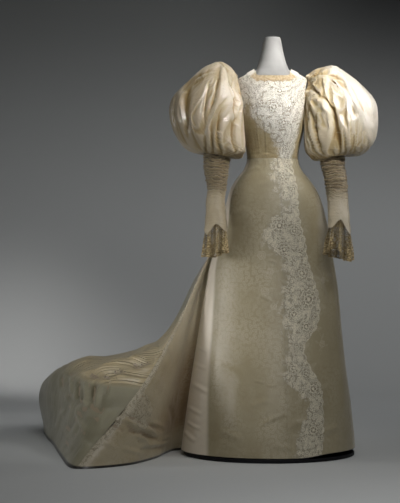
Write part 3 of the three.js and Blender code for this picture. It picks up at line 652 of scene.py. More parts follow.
def pattern(t, uv):
    """Brocade threads: flowers and leaves in their own places, a scalloped net ground between them, fine sprigs."""
    x, y = t.attr("fx"), t.attr("fy")
    near, petals = t.attr("fr"), t.attr("fn")
    r = t.math("SQRT", t.math("ADD", t.math("MULTIPLY", x, x), t.math("MULTIPLY", y, y)))
    a = t.math("ARCTAN2", y, x)
    half = t.math("MULTIPLY", t.math("MULTIPLY", a, petals), 0.5)
    lobe = t.math("ABSOLUTE", t.math("COSINE", half))
    edge = t.math("ADD", 0.74, t.math("MULTIPLY", t.math("POWER", lobe, 0.6), 0.22))
    specks = t.nt.nodes.new("ShaderNodeTexVoronoi")
    specks.voronoi_dimensions, specks.feature = "2D", "F1"
    t.put(specks.inputs["Vector"], uv)
    specks.inputs["Scale"].default_value = 185.0
    speck = t.smooth(specks.outputs["Distance"], 0.46, 0.3)
    # a flower: raised threads draw its petals, their veins, a ring and an eye over a speckled ground
    within = t.smooth(t.math("SUBTRACT", edge, r), -0.02, 0.03)
    outline = t.smooth(t.math("ABSOLUTE", t.math("SUBTRACT", t.math("SUBTRACT", edge, 0.04), r)), 0.085, 0.035)
    petal = t.smooth(t.math("MULTIPLY", t.math("ABSOLUTE", t.math("COSINE", half)), t.math("MAXIMUM", r, 0.3)), 0.13, 0.05)
    petal = t.math("MULTIPLY", petal, t.smooth(r, 0.3, 0.36))
    lobe2 = t.math("ABSOLUTE", t.math("SINE", half))
    ring = t.math("ABSOLUTE", t.math("SUBTRACT", r, t.math("ADD", 0.36, t.math("MULTIPLY", lobe2, 0.12))))
    ring = t.smooth(ring, 0.08, 0.03)
    vein = t.smooth(t.math("COSINE", t.math("MULTIPLY", t.math("MULTIPLY", a, petals), 4.0)), 0.1, 0.75, 0.0, 0.75)
    vein = t.math("MULTIPLY", vein, t.smooth(r, 0.5, 0.62))
    eye = t.smooth(r, 0.2, 0.14)
    flower = t.math("MAXIMUM", t.math("MAXIMUM", outline, petal), t.math("MAXIMUM", ring, t.math("MAXIMUM", vein, eye)))
    flower = t.math("MAXIMUM", flower, t.math("MULTIPLY", speck, 0.7))
    flower = t.math("MULTIPLY", t.math("MULTIPLY", flower, within), t.smooth(near, 1.06, 1.0))
    halo = t.math("MULTIPLY", t.smooth(t.math("SUBTRACT", r, edge), 0.08, 0.0), t.smooth(near, 1.2, 1.1))
    la, lb, ln = t.attr("lx"), t.attr("ly"), t.attr("lr")
    width = t.math("POWER", t.math("MAXIMUM", t.math("SUBTRACT", 1.0, t.math("MULTIPLY", la, la)), 0.0), 0.8)
    width = t.math("ADD", width, t.math("MULTIPLY", t.math("ABSOLUTE", t.math("SINE", t.math("MULTIPLY", la, 14.0))), 0.1))
    bb = t.math("ABSOLUTE", lb)
    leaf = t.smooth(t.math("SUBTRACT", width, bb), 0.08, 0.16)
    rib = t.smooth(bb, 0.2, 0.08)
    side = t.smooth(t.math("SINE", t.math("SUBTRACT", t.math("MULTIPLY", la, 20.0), t.math("MULTIPLY", bb, 7.0))), -0.1, 0.7, 0.1, 1.0)
    rim_ = t.smooth(t.math("SUBTRACT", width, bb), 0.4, 0.2)
    leaf = t.math("MULTIPLY", t.math("MULTIPLY", leaf, t.math("MAXIMUM", t.math("MAXIMUM", rib, side), rim_)), t.smooth(ln, 1.1, 1.0))
    vine = t.math("MULTIPLY", t.smooth(t.attr("vine"), 2.0, 1.0), t.math("ADD", 0.4, t.math("MULTIPLY", speck, 0.6)))
    # the net: two sets of slanting threads with a dot in each mesh, inside the band
    band = t.attr("band")
    sep = t.nt.nodes.new("ShaderNodeSeparateXYZ")
    wob = t.noise(uv, 60.0, 1, 0.5)
    t.nt.links.new(uv, sep.inputs[0])
    wx = t.math("ADD", sep.outputs[0], t.math("MULTIPLY", wob, 0.004))
    p = t.math("PINGPONG", t.math("MULTIPLY", t.math("ADD", wx, sep.outputs[1]), 128.0), 0.5)
    q = t.math("PINGPONG", t.math("MULTIPLY", t.math("SUBTRACT", wx, sep.outputs[1]), 128.0), 0.5)
    lines = t.math("MINIMUM", p, q)
    net = t.smooth(lines, 0.2, 0.12)
    dot = t.smooth(t.math("ADD", t.math("SUBTRACT", 0.5, p), t.math("SUBTRACT", 0.5, q)), 0.24, 0.16)
    cells = t.nt.nodes.new("ShaderNodeTexVoronoi")
    cells.voronoi_dimensions, cells.feature = "2D", "F1"
    t.put(cells.inputs["Vector"], uv)
    cells.inputs["Scale"].default_value = 84.0
    cells.inputs["Randomness"].default_value = 0.85
    # small scallops, each a raised loop round a dark eye, over a net of slanting threads
    loop = t.smooth(t.math("ABSOLUTE", t.math("SUBTRACT", cells.outputs["Distance"], 0.34)), 0.15, 0.08)
    core = t.smooth(cells.outputs["Distance"], 0.12, 0.07)
    sprig = t.math("MAXIMUM", loop, core)
    fill = t.math("MAXIMUM", sprig, t.math("MAXIMUM", t.math("MULTIPLY", net, 0.55), t.math("MULTIPLY", dot, 0.8)))
    into = t.smooth(band, -0.5, 1.0)
    rim = t.math("ABSOLUTE", t.math("SUBTRACT", band, 3.5))
    rim = t.math("MULTIPLY", t.smooth(rim, 2.4, 1.3), t.math("ADD", 0.35, t.math("MULTIPLY", speck, 0.65)))
    fill = t.math("MULTIPLY", fill, t.math("SUBTRACT", 1.0, t.math("MAXIMUM", t.math("MULTIPLY", halo, 0.8), within_(t, within, near))))
    ground = t.math("MULTIPLY", t.math("MAXIMUM", fill, rim), into)
    quiet = t.math("ADD", 0.22, t.math("MULTIPLY", into, 0.78))
    leaf, vine = t.math("MULTIPLY", leaf, quiet), t.math("MULTIPLY", vine, quiet)
    flower = t.math("MULTIPLY", flower, t.math("ADD", 0.45, t.math("MULTIPLY", into, 0.55)))
    faint = t.math("MULTIPLY", t.math("MULTIPLY", sprig, t.attr("faint")), 0.8)
    cream = t.math("MAXIMUM", t.math("MAXIMUM", flower, leaf), t.math("MAXIMUM", t.math("MAXIMUM", vine, ground), faint))
    dark = t.math("MULTIPLY", t.math("SUBTRACT", 1.0, cream), t.math("MAXIMUM", into, t.math("MULTIPLY", halo, t.math("MULTIPLY", quiet, 0.45))))
    crumb = t.smooth(t.noise(uv, 240.0, 2, 0.7), 0.3, 0.55, 0.35, 1.0)
    show = t.attr("show")
    cream = t.math("MULTIPLY", t.math("MULTIPLY", cream, crumb), show, clamped=True)
    return cream, t.math("MULTIPLY", dark, show, clamped=True), t.math("MULTIPLY", t.math("ADD", cream, t.math("MULTIPLY", t.noise(uv, 420.0, 1, 0.5), 0.3)), 1.0)


# ------------------------------------------------------------------------------------------------ brocade layout
# u: mm across the cloth from the seam at the centre front, towards the wearer's left; s: mm down from the waist
FRONT_BAND = table("s centre half", [
    [-10, 40, 27], [60, 24, 38], [130, 34, 30], [190, 46, 17], [250, 14, 56], [330, 20, 68], [400, 52, 42], [470, 62, 57],
    [560, 72, 70], [640, 66, 57], [700, 42, 30], [780, 46, 48], [850, 84, 55], [920, 118, 24], [1000, 100, 46], [1090, 92, 40]])
FRONT_FLOWERS = table("u s size petals", [
    [38, 22, 21, 6], [14, 74, 25, 7], [50, 124, 19, 6], [40, 190, 15, 5], [-10, 262, 33, 8], [44, 282, 24, 7], [4, 350, 28, 7],
    [62, 368, 21, 6], [68, 440, 33, 8], [26, 496, 23, 6], [92, 536, 40, 9], [34, 588, 29, 8], [80, 634, 29, 7], [112, 598, 17, 5],
    [44, 704, 21, 6], [28, 780, 27, 7], [74, 802, 23, 6], [102, 858, 33, 8], [60, 874, 19, 6], [124, 926, 17, 6],
    [98, 1004, 32, 8], [132, 1036, 19, 5], [60, 1034, 19, 6], [-62, 300, 16, 6], [-78, 372, 18, 6], [-48, 432, 15, 5],
    [-70, 505, 17, 6], [-40, 560, 14, 5], [150, 700, 15, 5], [165, 470, 14, 5]])
FRONT_VINES = [
    table("u s", [[38, 0], [14, 74], [50, 124], [40, 190], [44, 282], [4, 350], [68, 440], [26, 496], [92, 536], [34, 588], [80, 634], [44, 704], [28, 780], [102, 858], [124, 926], [98, 1004], [60, 1070]]),
    table("u s", [[-10, 262], [-62, 300], [-78, 372], [-48, 432], [-70, 505], [-40, 560], [10, 610]]),
    table("u s", [[62, 368], [120, 410], [165, 470], [150, 540], [112, 598]]),
    table("u s", [[80, 634], [130, 650], [150, 700], [128, 760], [74, 802]])]
# the bodice: s runs down from the neckline
BODICE_LOW = table("u s", [[-210, 180], [-150, 190], [-95, 188], [-50, 200], [-10, 240], [24, 300], [56, 380], [92, 330], [122, 236], [160, 210], [215, 190]])
BODICE_FLOWERS = table("u s size petals", [
    [-104, 22, 20, 6], [-66, 64, 25, 7], [-22, 34, 21, 6], [24, 66, 28, 8], [70, 32, 22, 6], [104, 74, 24, 7], [-112, 92, 19, 6],
    [-52, 118, 22, 7], [2, 128, 30, 8], [62, 134, 27, 7], [112, 142, 20, 6], [38, 188, 26, 7], [88, 196, 21, 6], [64, 236, 16, 5],
    [44, 282, 20, 6], [-148, 60, 17, 6], [146, 40, 17, 6], [154, 104, 18, 6]])
BACK_FLOWERS = table("u s size petals", [
    [-150, 60, 26, 7], [-100, 30, 22, 6], [-52, 66, 28, 8], [-118, 108, 22, 6], [-70, 128, 24, 7], [-24, 118, 20, 6], [-20, 24, 20, 6],
    [-160, 130, 18, 6], [-44, 182, 22, 6]])
GORE_FLOWERS = table("u s size petals", [
    [62, 1010, 34, 8], [104, 1062, 22, 6], [44, 1088, 24, 7], [150, 1010, 26, 7], [120, 950, 20, 6], [64, 930, 20, 6], [66, 690, 26, 7],
    [112, 736, 22, 6], [76, 790, 22, 6], [150, 650, 20, 6], [60, 610, 20, 6], [96, 520, 24, 7], [70, 430, 20, 6], [110, 340, 18, 6],
    [200, 1070, 24, 7], [250, 1100, 20, 6], [180, 880, 18, 6]])
SIDE_FLOWERS = table("u s size petals", [
    [70, 140, 22, 6], [96, 220, 28, 8], [60, 300, 24, 7], [110, 372, 30, 8], [76, 452, 26, 7], [130, 520, 22, 6], [92, 596, 34, 8],
    [150, 668, 24, 7], [110, 744, 30, 8], [168, 812, 22, 6], [130, 884, 34, 9], [190, 950, 26, 7], [140, 1016, 28, 8]])


def path_distance(U, S, rows):
    n = len(rows)
    t = np.linspace(0, n - 1, (n - 1) * 9 + 1)
    cu = curve(range(n), [r["u"] for r in rows])(t)
    cs = curve(range(n), [r["s"] for r in rows])(t)
    best = np.full(U.shape, 1e9)
    for k in range(len(t) - 1):
        ax, ay = cu[k + 1] - cu[k], cs[k + 1] - cs[k]
        w = clamp(((U - cu[k]) * ax + (S - cs[k]) * ay) / max(ax * ax + ay * ay, 1e-9), 0, 1)
        best = np.minimum(best, np.hypot(U - cu[k] - w * ax, S - cs[k] - w * ay))
    return best


def brocade(U, S, flowers, vines=(), band=None, faint=0.25, show=1.0, seed=1):
    """Attributes that place the woven pattern: the nearest flower's and leaf's own coordinates, vine and net areas."""
    out = {k: np.full(U.shape, v) for k, v in (("fx", 9.0), ("fy", 0.0), ("fr", 9.0), ("fn", 8.0), ("lx", 9.0), ("ly", 9.0), ("lr", 9.0), ("vine", 30.0), ("band", -30.0))}
    rng = np.random.RandomState(seed)
    for f in flowers:
        dx, dy, turn = (U - f["u"]) / f["size"], (S - f["s"]) / f["size"], rng.uniform(0, 6.28)
        r = np.hypot(dx, dy)
        m = r < np.minimum(out["fr"], 3)
        out["fr"][m] = r[m]
        out["fx"][m] = (dx * math.cos(turn) + dy * math.sin(turn))[m]
        out["fy"][m] = (dy * math.cos(turn) - dx * math.sin(turn))[m]
        out["fn"][m] = f["petals"]
        for k in range(4):
            a = turn + k * 1.57 + rng.uniform(-0.3, 0.3)
            half = f["size"] * rng.uniform(0.55, 0.8)
            cx, cy = f["u"] + math.cos(a) * (f["size"] + half), f["s"] + math.sin(a) * (f["size"] + half)
            b = a + rng.uniform(-0.5, 0.5)
            la = ((U - cx) * math.cos(b) + (S - cy) * math.sin(b)) / half
            lb = ((S - cy) * math.cos(b) - (U - cx) * math.sin(b)) / (half * 0.42)
            lr = np.hypot(la, lb)
            m = lr < np.minimum(out["lr"], 2)
            out["lr"][m], out["lx"][m], out["ly"][m] = lr[m], la[m], lb[m]
    for v in vines:
        out["vine"] = np.minimum(out["vine"], path_distance(U, S, v))
    if band is not None:
        out["band"] = clamp(band, -30, 30)
    out["faint"] = faint * clamp(0.5 + turbulence(U / 70, S / 90, 0.3, seed) * 0.9, 0, 1)
    out["show"] = np.zeros(U.shape) + show
    return out


def front_band(U, S):
    c = columns(FRONT_BAND, "s", False)
    scallop = 7.0 * np.abs(np.sin(np.pi * S / 33.0)) + 4 * noise(S / 60, U / 60, 0, 5)
    d = U - c["centre"](S)
    fade = (c["half"](S) + d + 26 + 22 * turbulence(U / 20, S / 26, 0, 7, 3)) / 34
    return np.minimum(c["half"](S) + scallop - 3 - d, np.where(fade < 1, fade * 1.5 - 0.5, 30))


# ------------------------------------------------------------------------------------------------ folds
# x0 z0 to x1 z1: the line of a soft ridge (high over 0) or trough, seen from the front
SKIRT_CREASES = table("x0 z0 x1 z1 wide high bow", [
    [-22, 712, 6, 702, 5, 1.6, 2], [-60, 590, 2, 556, 6, 1.8, 3], [-8, 548, 22, 524, 5, -1.2, 0], [-76, 286, -40, 279, 4, 1.5, 1],
    [-28, 268, 10, 275, 4, 1.8, -2], [-48, 132, 34, 172, 8, 2.2, 4], [-86, 196, -20, 218, 9, 1.6, 3], [-318, 122, -268, 106, 6, 2.0, 0],
    [-322, 176, -262, 158, 7, 1.6, 2], [-306, 262, -240, 238, 8, 1.8, 3], [-300, 336, -246, 322, 6, 1.3, 0], [-286, 400, -238, 380, 6, 1.1, 0],
    [-330, 86, -285, 60, 8, 2.0, 0], [-200, 330, -120, 300, 14, 1.8, 5], [-150, 470, -90, 420, 14, 1.6, 5], [40, 120, 120, 150, 12, 1.8, 4],
    [110, 230, 190, 205, 12, 1.6, 4], [-10, 60, 60, 52, 10, 1.4, 0], [-200, 105, -120, 80, 12, 1.8, 3], [150, 90, 230, 118, 12, 1.6, 3],
    [-105, 905, -150, 880, 9, 1.4, 2], [-60, 985, 20, 1000, 9, 1.2, 3], [60, 1030, 84, 1015, 6, 1.4, 0], [-96, 1040, -50, 1052, 7, 1.2, 2],
    [176, 660, 205, 560, 12, -2.2, 4], [-236, 640, -262, 420, 16, 1.2, 0], [-214, 520, -236, 300, 14, -0.7, 0], [-255, 300, -292, 60, 18, 1.6, 4],
    [232, 420, 256, 160, 20, 2.2, 5], [130, 380, 160, 60, 26, 2.0, 5], [-120, 350, -160, 40, 28, 2.0, 5]])
TRAIN_CREASES = table("x0 z0 x1 z1 wide high bow", [
    # long folds on the top of the mound
    [-790, 292, -560, 372, 11, 9, 4], [-760, 270, -600, 322, 9, 7, -4], [-700, 318, -520, 372, 8, -8, 4], [-650, 310, -470, 352, 10, 9, 6],
    [-560, 318, -505, 328, 8, 10, 2], [-600, 300, -430, 352, 9, -8, 4], [-520, 350, -420, 396, 10, 7, 2], [-700, 345, -600, 380, 8, 6, 0],
    # the crease along the brow and short folds that hang from it
    [-800, 268, -540, 292, 8, -6, 5], [-810, 262, -806, 214, 7, -4, 0], [-764, 262, -752, 208, 8, 4.5, 2], [-722, 262, -716, 196, 9, -6, -2],
    [-690, 262, -680, 184, 10, 7, 4], [-655, 268, -652, 206, 8, -5, 0], [-628, 276, -640, 186, 9, 4, 4], [-596, 284, -604, 230, 8, -4, 0],
    # soft star of wrinkles in the middle of the slope
    [-722, 162, -655, 210, 8, 3.5, 4], [-722, 160, -668, 116, 8, 3.4, -3], [-736, 172, -786, 196, 8, 2.8, 3],
    [-706, 132, -742, 76, 8, 2.8, 2], [-668, 176, -610, 158, 8, 3, 3], [-776, 146, -812, 118, 8, 2.6, 3], [-690, 90, -640, 60, 8, 2.4, 2],
    [-620, 140, -585, 190, 9, 3, 3], [-780, 84, -720, 50, 10, 2.6, 3], [-800, 120, -820, 60, 10, 2.4, 0], [-660, 60, -640, 20, 8, 2.2, 0]])
GORE_CREASES = table("x0 z0 x1 z1 wide high bow", [
    [-560, 170, -440, 96, 9, 7, 6], [-520, 120, -420, 70, 8, -6, 4], [-500, 140, -455, 60, 8, 6, -3], [-470, 150, -425, 80, 7, 6, -4],
    [-452, 130, -400, 92, 6, -5, 2], [-600, 180, -540, 150, 7, 5, 2], [-590, 150, -530, 116, 7, -4, 2], [-480, 60, -380, 40, 8, 5, 2],
    [-430, 300, -400, 240, 10, 4, 3], [-400, 400, -372, 330, 10, 3.5, 3], [-540, 60, -470, 30, 8, 3.5, 2], [-380, 180, -360, 90, 9, -5, 2],
    [-350, 560, -330, 470, 12, 3, 3], [-620, 100, -560, 60, 9, 3, 2], [-416, 64, -360, 58, 6, 4, 0], [-470, 240, -440, 180, 9, -4, 3]])
# main folds of the balloons, placed as lines seen from the front: the cloth sinks at the line by deep and comes
# back over wide; side -1 sinks it towards -X of the line, 1 towards +X, 0 both ways
PUFF_FALLS = {
    "right": table("x0 z0 x1 z1 x2 z2 deep wide side", [
        [-239, 1411, -203, 1448, -145, 1375, 13, 12, 0], [-253, 1404, -330, 1346, -333, 1223, 24, 52, -1],
        [-272, 1415, -337, 1353, -373, 1299, 9, 12, 0], [-192, 1404, -206, 1318, -252, 1204, 20, 36, 1],
        [-235, 1361, -253, 1281, -257, 1194, 8, 22, 0], [-158, 1330, -172, 1270, -152, 1200, 15, 30, -1],
        [-148, 1375, -155, 1313, -134, 1248, 9, 8, 0], [-163, 1361, -166, 1310, -152, 1252, 9, 8, 0],
        [-163, 1237, -170, 1179, -163, 1114, 12, 13, 0], [-137, 1252, -126, 1186, -134, 1106, 12, 13, 0],
        [-192, 1266, -203, 1186, -195, 1114, 14, 16, 1], [-224, 1215, -228, 1157, -224, 1110, 11, 13, 0],
        [-301, 1303, -308, 1230, -286, 1157, 10, 20, 1], [-257, 1194, -257, 1157, -253, 1121, 9, 11, 0],
        [-355, 1310, -366, 1259, -348, 1208, 9, 13, 0], [-172, 1412, -160, 1376, -158, 1340, 8, 9, 0]]),
    "left": table("x0 z0 x1 z1 x2 z2 deep wide side", [
        [204, 1390, 233, 1368, 266, 1332, 30, 28, 0], [255, 1393, 299, 1306, 364, 1164, 18, 46, -1],
        [153, 1353, 168, 1324, 182, 1292, 18, 14, 0], [142, 1332, 208, 1266, 204, 1128, 25, 52, -1],
        [161, 1295, 153, 1204, 175, 1106, 11, 10, 1], [179, 1273, 171, 1194, 186, 1106, 10, 9, -1],
        [139, 1281, 132, 1186, 153, 1092, 11, 11, 1], [233, 1194, 240, 1157, 244, 1117, 17, 24, 0],
        [215, 1368, 226, 1281, 237, 1201, 8, 22, 1], [273, 1324, 280, 1241, 284, 1128, 10, 26, -1],
        [364, 1281, 375, 1223, 368, 1168, 10, 11, -1], [317, 1339, 349, 1281, 378, 1230, 8, 18, 0],
        [150, 1386, 208, 1430, 270, 1379, 13, 12, 0], [132, 1361, 153, 1390, 197, 1393, 12, 10, 0],
        [259, 1204, 266, 1157, 270, 1114, 10, 12, 1], [306, 1194, 306, 1150, 299, 1114, 10, 12, -1],
        [175, 1375, 186, 1346, 190, 1310, 8, 9, 0], [339, 1252, 331, 1186, 335, 1135, 7, 12, 1]])}


def pleats(deg, v, across, along, seed):
    """Uneven pleats round a ring, from -1 to 1, with sharper crests; across is their size in degrees."""
    R = 360 / (2 * np.pi * across)
    n = noise(R * cosd(deg), R * sind(deg), v * along, seed) + 0.5 * noise(2 * R * cosd(deg), 2 * R * sind(deg), v * along * 1.3 + 7, seed + 9)
    return 1 - 2.2 * np.abs(n) ** 0.8


def falls(rows, P, n, seed):
    """How far the balloon's main folds move its surface; the back gets the same lines, shifted."""
    h = np.zeros(P.shape[:2])
    t = np.linspace(0, 1, 25)[:, None]
    for k, r in enumerate(rows):
        ends = np.array([[r["x0"], r["z0"]], [r["x2"], r["z2"]]], float)
        middle = 2 * np.array([r["x1"], r["z1"]], float) - ends.mean(0)
        line = (1 - t) ** 2 * ends[0] + 2 * t * (1 - t) * middle + t * t * ends[1]
        for back in (0, 1):
            near, side, place = np.full(P.shape[:2], 1e9), np.zeros(P.shape[:2]), np.zeros(P.shape[:2])
            shift = 9 * math.sin(k * 2.3 + seed) if back else 0.0
            for i in range(24):
                p, e = line[i] + (shift, 0), line[i + 1] - line[i]
                long = np.hypot(*e)
                e = e / long
                x, z = P[..., 0] - p[0], P[..., 2] - p[1]
                w = clamp(x * e[0] + z * e[1], 0, long)
                x, z = x - w * e[0], z - w * e[1]
                d = np.hypot(x, z)
                m = d < near
                near, side, place = np.where(m, d, near), np.where(m, np.sign(x * e[1] * -1 + z * e[0]) * -1, side), np.where(m, (i + w / long) / 24, place)
            past = np.where((place <= 0) | (place >= 1), near, 0)
            end = np.sin(np.pi * (0.07 + 0.86 * place)) ** 0.6 * (1 - ramp(r["wide"] * 0.2 + 4, r["wide"] * 1.6 + 8, past))
            if r["side"] == 0:
                f = 0.6 * np.exp(-((near / (r["wide"] * 0.5)) ** 2)) + 0.4 * np.exp(-((near / (r["wide"] * 0.2)) ** 2))
            else:
                lip = r["wide"] * 0.12
                f = np.where(side * r["side"] > 0, clamp(near / lip, 0, 1) * np.exp(-(np.maximum(near - lip, 0) / (r["wide"] * 0.5)) ** 1.3), 0)
            face = ramp(-0.05, 0.35, n[..., 1] if back else -n[..., 1])
            h -= r["deep"] * (0.85 if back else 1.0) * f * end * face
    return h


def armhole(which, deg):
    """The sewn edge of the armhole on the bodice, from the angle round the sleeve."""
    a = np.radians(deg - TOP_GATHER * sind(deg))
    z = mix(ARM_LOW, ARM_TOP, 0.5 + 0.5 * np.cos(a))
    turn = 90 + np.where(np.sin(a) > 0, -26.5, 22.5) * arm_cut(z)
    return body(turn if which == "right" else -turn, z) * np.array([1.005, 1.005, 1.0])


def sleeve_head(which, deg, v, sink):
    """The balloon, whose first rows come in to the armhole's edge."""
    P = puff_point(which, deg, v, sink)
    w = (1 - ramp(0.0, 0.075, v))[..., None]
    return mix(P, armhole(which, deg), w)


def ring_object(name, P):
    n, m = P.shape[:2]
    me = bpy.data.meshes.new(name)
    i, j = (g.ravel() for g in np.meshgrid(np.arange(n), np.arange(m - 1), indexing="ij"))
    at = lambda i, j: (i % n) * m + j
    me.from_pydata((P.reshape(-1, 3) * MM).tolist(), [], np.stack([at(i, j), at(i, j + 1), at(i + 1, j + 1), at(i + 1, j)], 1).tolist())
    ob = bpy.data.objects.new(name, me)
    bpy.context.scene.collection.objects.link(ob)
    return ob


def settle(P, rest, stuffing, frames=26):
    """Lets a gathered tube of cloth, wider than its place by the rest shape, settle on its stuffing; ends are held."""
    ob, inner = ring_object("cloth", P), ring_object("stuffing", stuffing)
    inner.modifiers.new("Collision", "COLLISION")
    inner.collision.thickness_outer, inner.collision.cloth_friction = 0.002, 5
    ob.shape_key_add(name="Basis")
    key = ob.shape_key_add(name="rest")
    key.data.foreach_set("co", (rest.reshape(-1, 3) * MM).astype(np.float32).ravel())
    key.value = 0
    n, m = P.shape[:2]
    ob.vertex_groups.new(name="held").add([i * m + j for i in range(n) for j in (0, m - 1)], 1.0, "REPLACE")
    mod = ob.modifiers.new("Cloth", "CLOTH")
    c = mod.settings
    c.quality, c.mass, c.air_damping = 6, 0.3, 1.0
    c.tension_stiffness, c.compression_stiffness, c.shear_stiffness, c.bending_stiffness = 15, 15, 4.5, 0.7
    c.tension_damping, c.compression_damping, c.shear_damping, c.bending_damping = 5, 5, 5, 0.5
    c.vertex_group_mass, c.pin_stiffness, c.rest_shape_key = "held", 1.0, key
    c.effector_weights.gravity = 0.6
    mod.collision_settings.distance_min, mod.collision_settings.collision_quality = 0.0015, 2
    mod.collision_settings.use_self_collision = False
    mod.point_cache.frame_start, mod.point_cache.frame_end = 1, frames
    for f in range(1, frames + 1):
        bpy.context.scene.frame_set(f)
    done = ob.evaluated_get(bpy.context.evaluated_depsgraph_get()).to_mesh()
    co = np.empty(n * m * 3, np.float32)
    done.vertices.foreach_get("co", co)
    for o in (ob, inner):
        bpy.data.objects.remove(o, do_unlink=True)
    bpy.context.scene.frame_set(1)
    return co.reshape(n, m, 3).astype(float) / MM


def resample(G, i, j):
    """Smooth values between the points of a ring grid, at columns i (they wrap) and rows j."""
    def weights(t):
        return [(-t + 2 * t**2 - t**3) / 2, (2 - 5 * t**2 + 3 * t**3) / 2, (t + 4 * t**2 - 3 * t**3) / 2, (t**3 - t**2) / 2]
    n, m = G.shape[:2]
    k = np.floor(i).astype(int)
    A = sum(w[:, None, None] * G[(k + o) % n] for o, w in zip((-1, 0, 1, 2), weights(i - k)))
    k = np.floor(j).astype(int)
    return sum(w[None, :, None] * A[:, np.clip(k + o, 0, m - 1)] for o, w in zip((-1, 0, 1, 2), weights(j - k)))


def balloon(which, nu, v):
    """Points of a balloon sleeve, nu columns (the last one repeats the first) by the rows in v."""
    turn, seed = (1, 81) if which == "right" else (-1, 91)
    n, m = 160, 72
    V = np.linspace(0, 1, m)[None, :] + np.zeros((n, 1))
    D = turn * np.arange(n)[:, None] * 360 / n + 0 * V
    env = np.sin(np.pi * V) ** 0.5
    P = sleeve_head(which, D, V, 3.0 * env)
    out = normals(np.concatenate([P, P[:1]]), True)[:-1]
    P = P + out * falls(PUFF_FALLS[which], P, out, seed)[..., None]
    P = P + out * (2.0 * pleats(D, V * 0.6, 11, 1.0, seed + 2) * env)[..., None]
    middle = P.mean(0)
    round_ = np.linalg.norm(P - np.roll(P, 1, 0), axis=-1).sum(0)
    wider = 1.2 + 0.5 * (np.minimum(round_.max() / round_, 1.6) - 1)
    rest = (middle - middle[m // 2]) * 1.05 + middle[m // 2] + (P - middle) * wider[None, :, None]
    V2 = np.linspace(0, 1, 56)[None, :] + np.zeros((120, 1))
    D2 = turn * np.arange(120)[:, None] * 360 / 120 + 0 * V2
    S2 = sleeve_head(which, D2, V2, 15.0 * np.sin(np.pi * V2) ** 0.5 + 1.5)
    out2 = normals(np.concatenate([S2, S2[:1]]), True)[:-1]
    S2 = S2 + out2 * (1.05 * falls(PUFF_FALLS[which], S2, out2, seed) - 3.0 * np.exp(-((V2 / 0.1) ** 2)) - 1.0)[..., None]
    P = settle(P, rest, S2)
    i = np.linspace(0, n, nu)
    return resample(P, i, v * (m - 1))


# ------------------------------------------------------------------------------------------------ finishes
FLORAL = {"thread": (0.86, 0.80, 0.635), "dark": (0.12, 0.095, 0.05), "dark_mix": 0.9}
BROCADE = satin("brocade_silk", (0.40, 0.345, 0.225), (0.33, 0.28, 0.17), rough=0.34, sheen=0.2, bare_strip_sheen=(0.80, 0.72, 0.60), gloss=0.7, brocade=FLORAL)
BODICE_SILK = satin("bodice_brocade", (0.42, 0.33, 0.165), (0.345, 0.26, 0.12), rough=0.34, sheen=0.1, brocade={**FLORAL, "thread": (0.95, 0.925, 0.85)})
GORE_SILK = satin("gore_brocade", (0.46, 0.40, 0.275), (0.38, 0.31, 0.19), rough=0.32, sheen=0.15, gloss=0.8, deep=(0.29, 0.20, 0.11), lit_colour=(0.74, 0.68, 0.53), brocade={**FLORAL, "thread": (0.62, 0.56, 0.42)})
SATIN = satin("satin_silk", (0.57, 0.445, 0.24), (0.49, 0.365, 0.18), rough=0.25, sheen=0.25, gathers=0.7, gloss=1.0, deep=(0.33, 0.20, 0.06), crest_highlight=(0.72, 0.64, 0.50), lit_colour=(0.71, 0.655, 0.565))
# a darker copy of the satin for the puff on the wearer's right, painted as lying more in shade than the other
SATIN_SHADED_RIGHT = satin("satin_silk_right_shaded", (0.475, 0.37, 0.20), (0.405, 0.30, 0.15), rough=0.25, sheen=0.2, gathers=0.7, gloss=1.0, deep=(0.27, 0.165, 0.05), crest_highlight=(0.66, 0.575, 0.44), lit_colour=(0.68, 0.615, 0.51))
TRAIN_SATIN = satin("train_satin", (0.31, 0.29, 0.205), (0.225, 0.21, 0.14), rough=0.3, sheen=0.06, gathers=2.2, wrinkle=0.9, gloss=0.8, deep=(0.13, 0.11, 0.06), lit_colour=(0.58, 0.475, 0.28))
SLEEVE_SATIN = satin("sleeve_satin", (0.46, 0.37, 0.215), (0.33, 0.245, 0.12), rough=0.34, sheen=0.2, ruche=0.6, gloss=0.8, deep=(0.065, 0.036, 0.012), lit_colour=(0.68, 0.60, 0.45))


def lace_material(name, base, dark, strap=None):
    t = Tree(name)
    uv = t.uv()
    n = t.noise(uv, 180.0, 3, 0.6)
    m = t.noise(uv, 14.0, 2, 0.5)
    colour = t.mix(t.smooth(n, 0.40, 0.60), dark, base)
    colour = t.mix(t.smooth(m, 0.4, 0.7, 0.0, 0.45), colour, tuple(c * 0.78 for c in dark))
    # painted shade in the hollows of the flutes
    colour = t.mix(t.smooth(t.attr("painted_shading"), 0.25, 0.95, 0.0, 0.6), colour, tuple(c * 0.42 for c in dark))
    if strap:
        sep = t.nt.nodes.new("ShaderNodeSeparateXYZ")
        t.nt.links.new(uv, sep.inputs[0])
        off = t.math("ABSOLUTE", t.math("SUBTRACT", sep.outputs[0], 0.28))
        colour = t.mix(t.math("MULTIPLY", t.smooth(off, 0.055, 0.075), t.smooth(off, 0.17, 0.15)), colour, strap)
    thread = t.node("TexWave", 1, {"wave_type": "BANDS", "bands_direction": "DIAGONAL"}, Vector=uv, Scale=260.0)
    t.set(Base_Color=colour, Roughness=0.85, Normal=t.bump(t.math("ADD", thread, n), 0.0004, 0.7), Sheen_Weight=0.2, Sheen_Roughness=0.5, Specular_IOR_Level=0.25)
    return t.mat


LACE = lace_material("lace_tan", (0.84, 0.68, 0.39), (0.27, 0.19, 0.08))
NECK_LACE = lace_material("lace_neck", (0.60, 0.475, 0.31), (0.42, 0.31, 0.17), strap=(0.84, 0.79, 0.70))


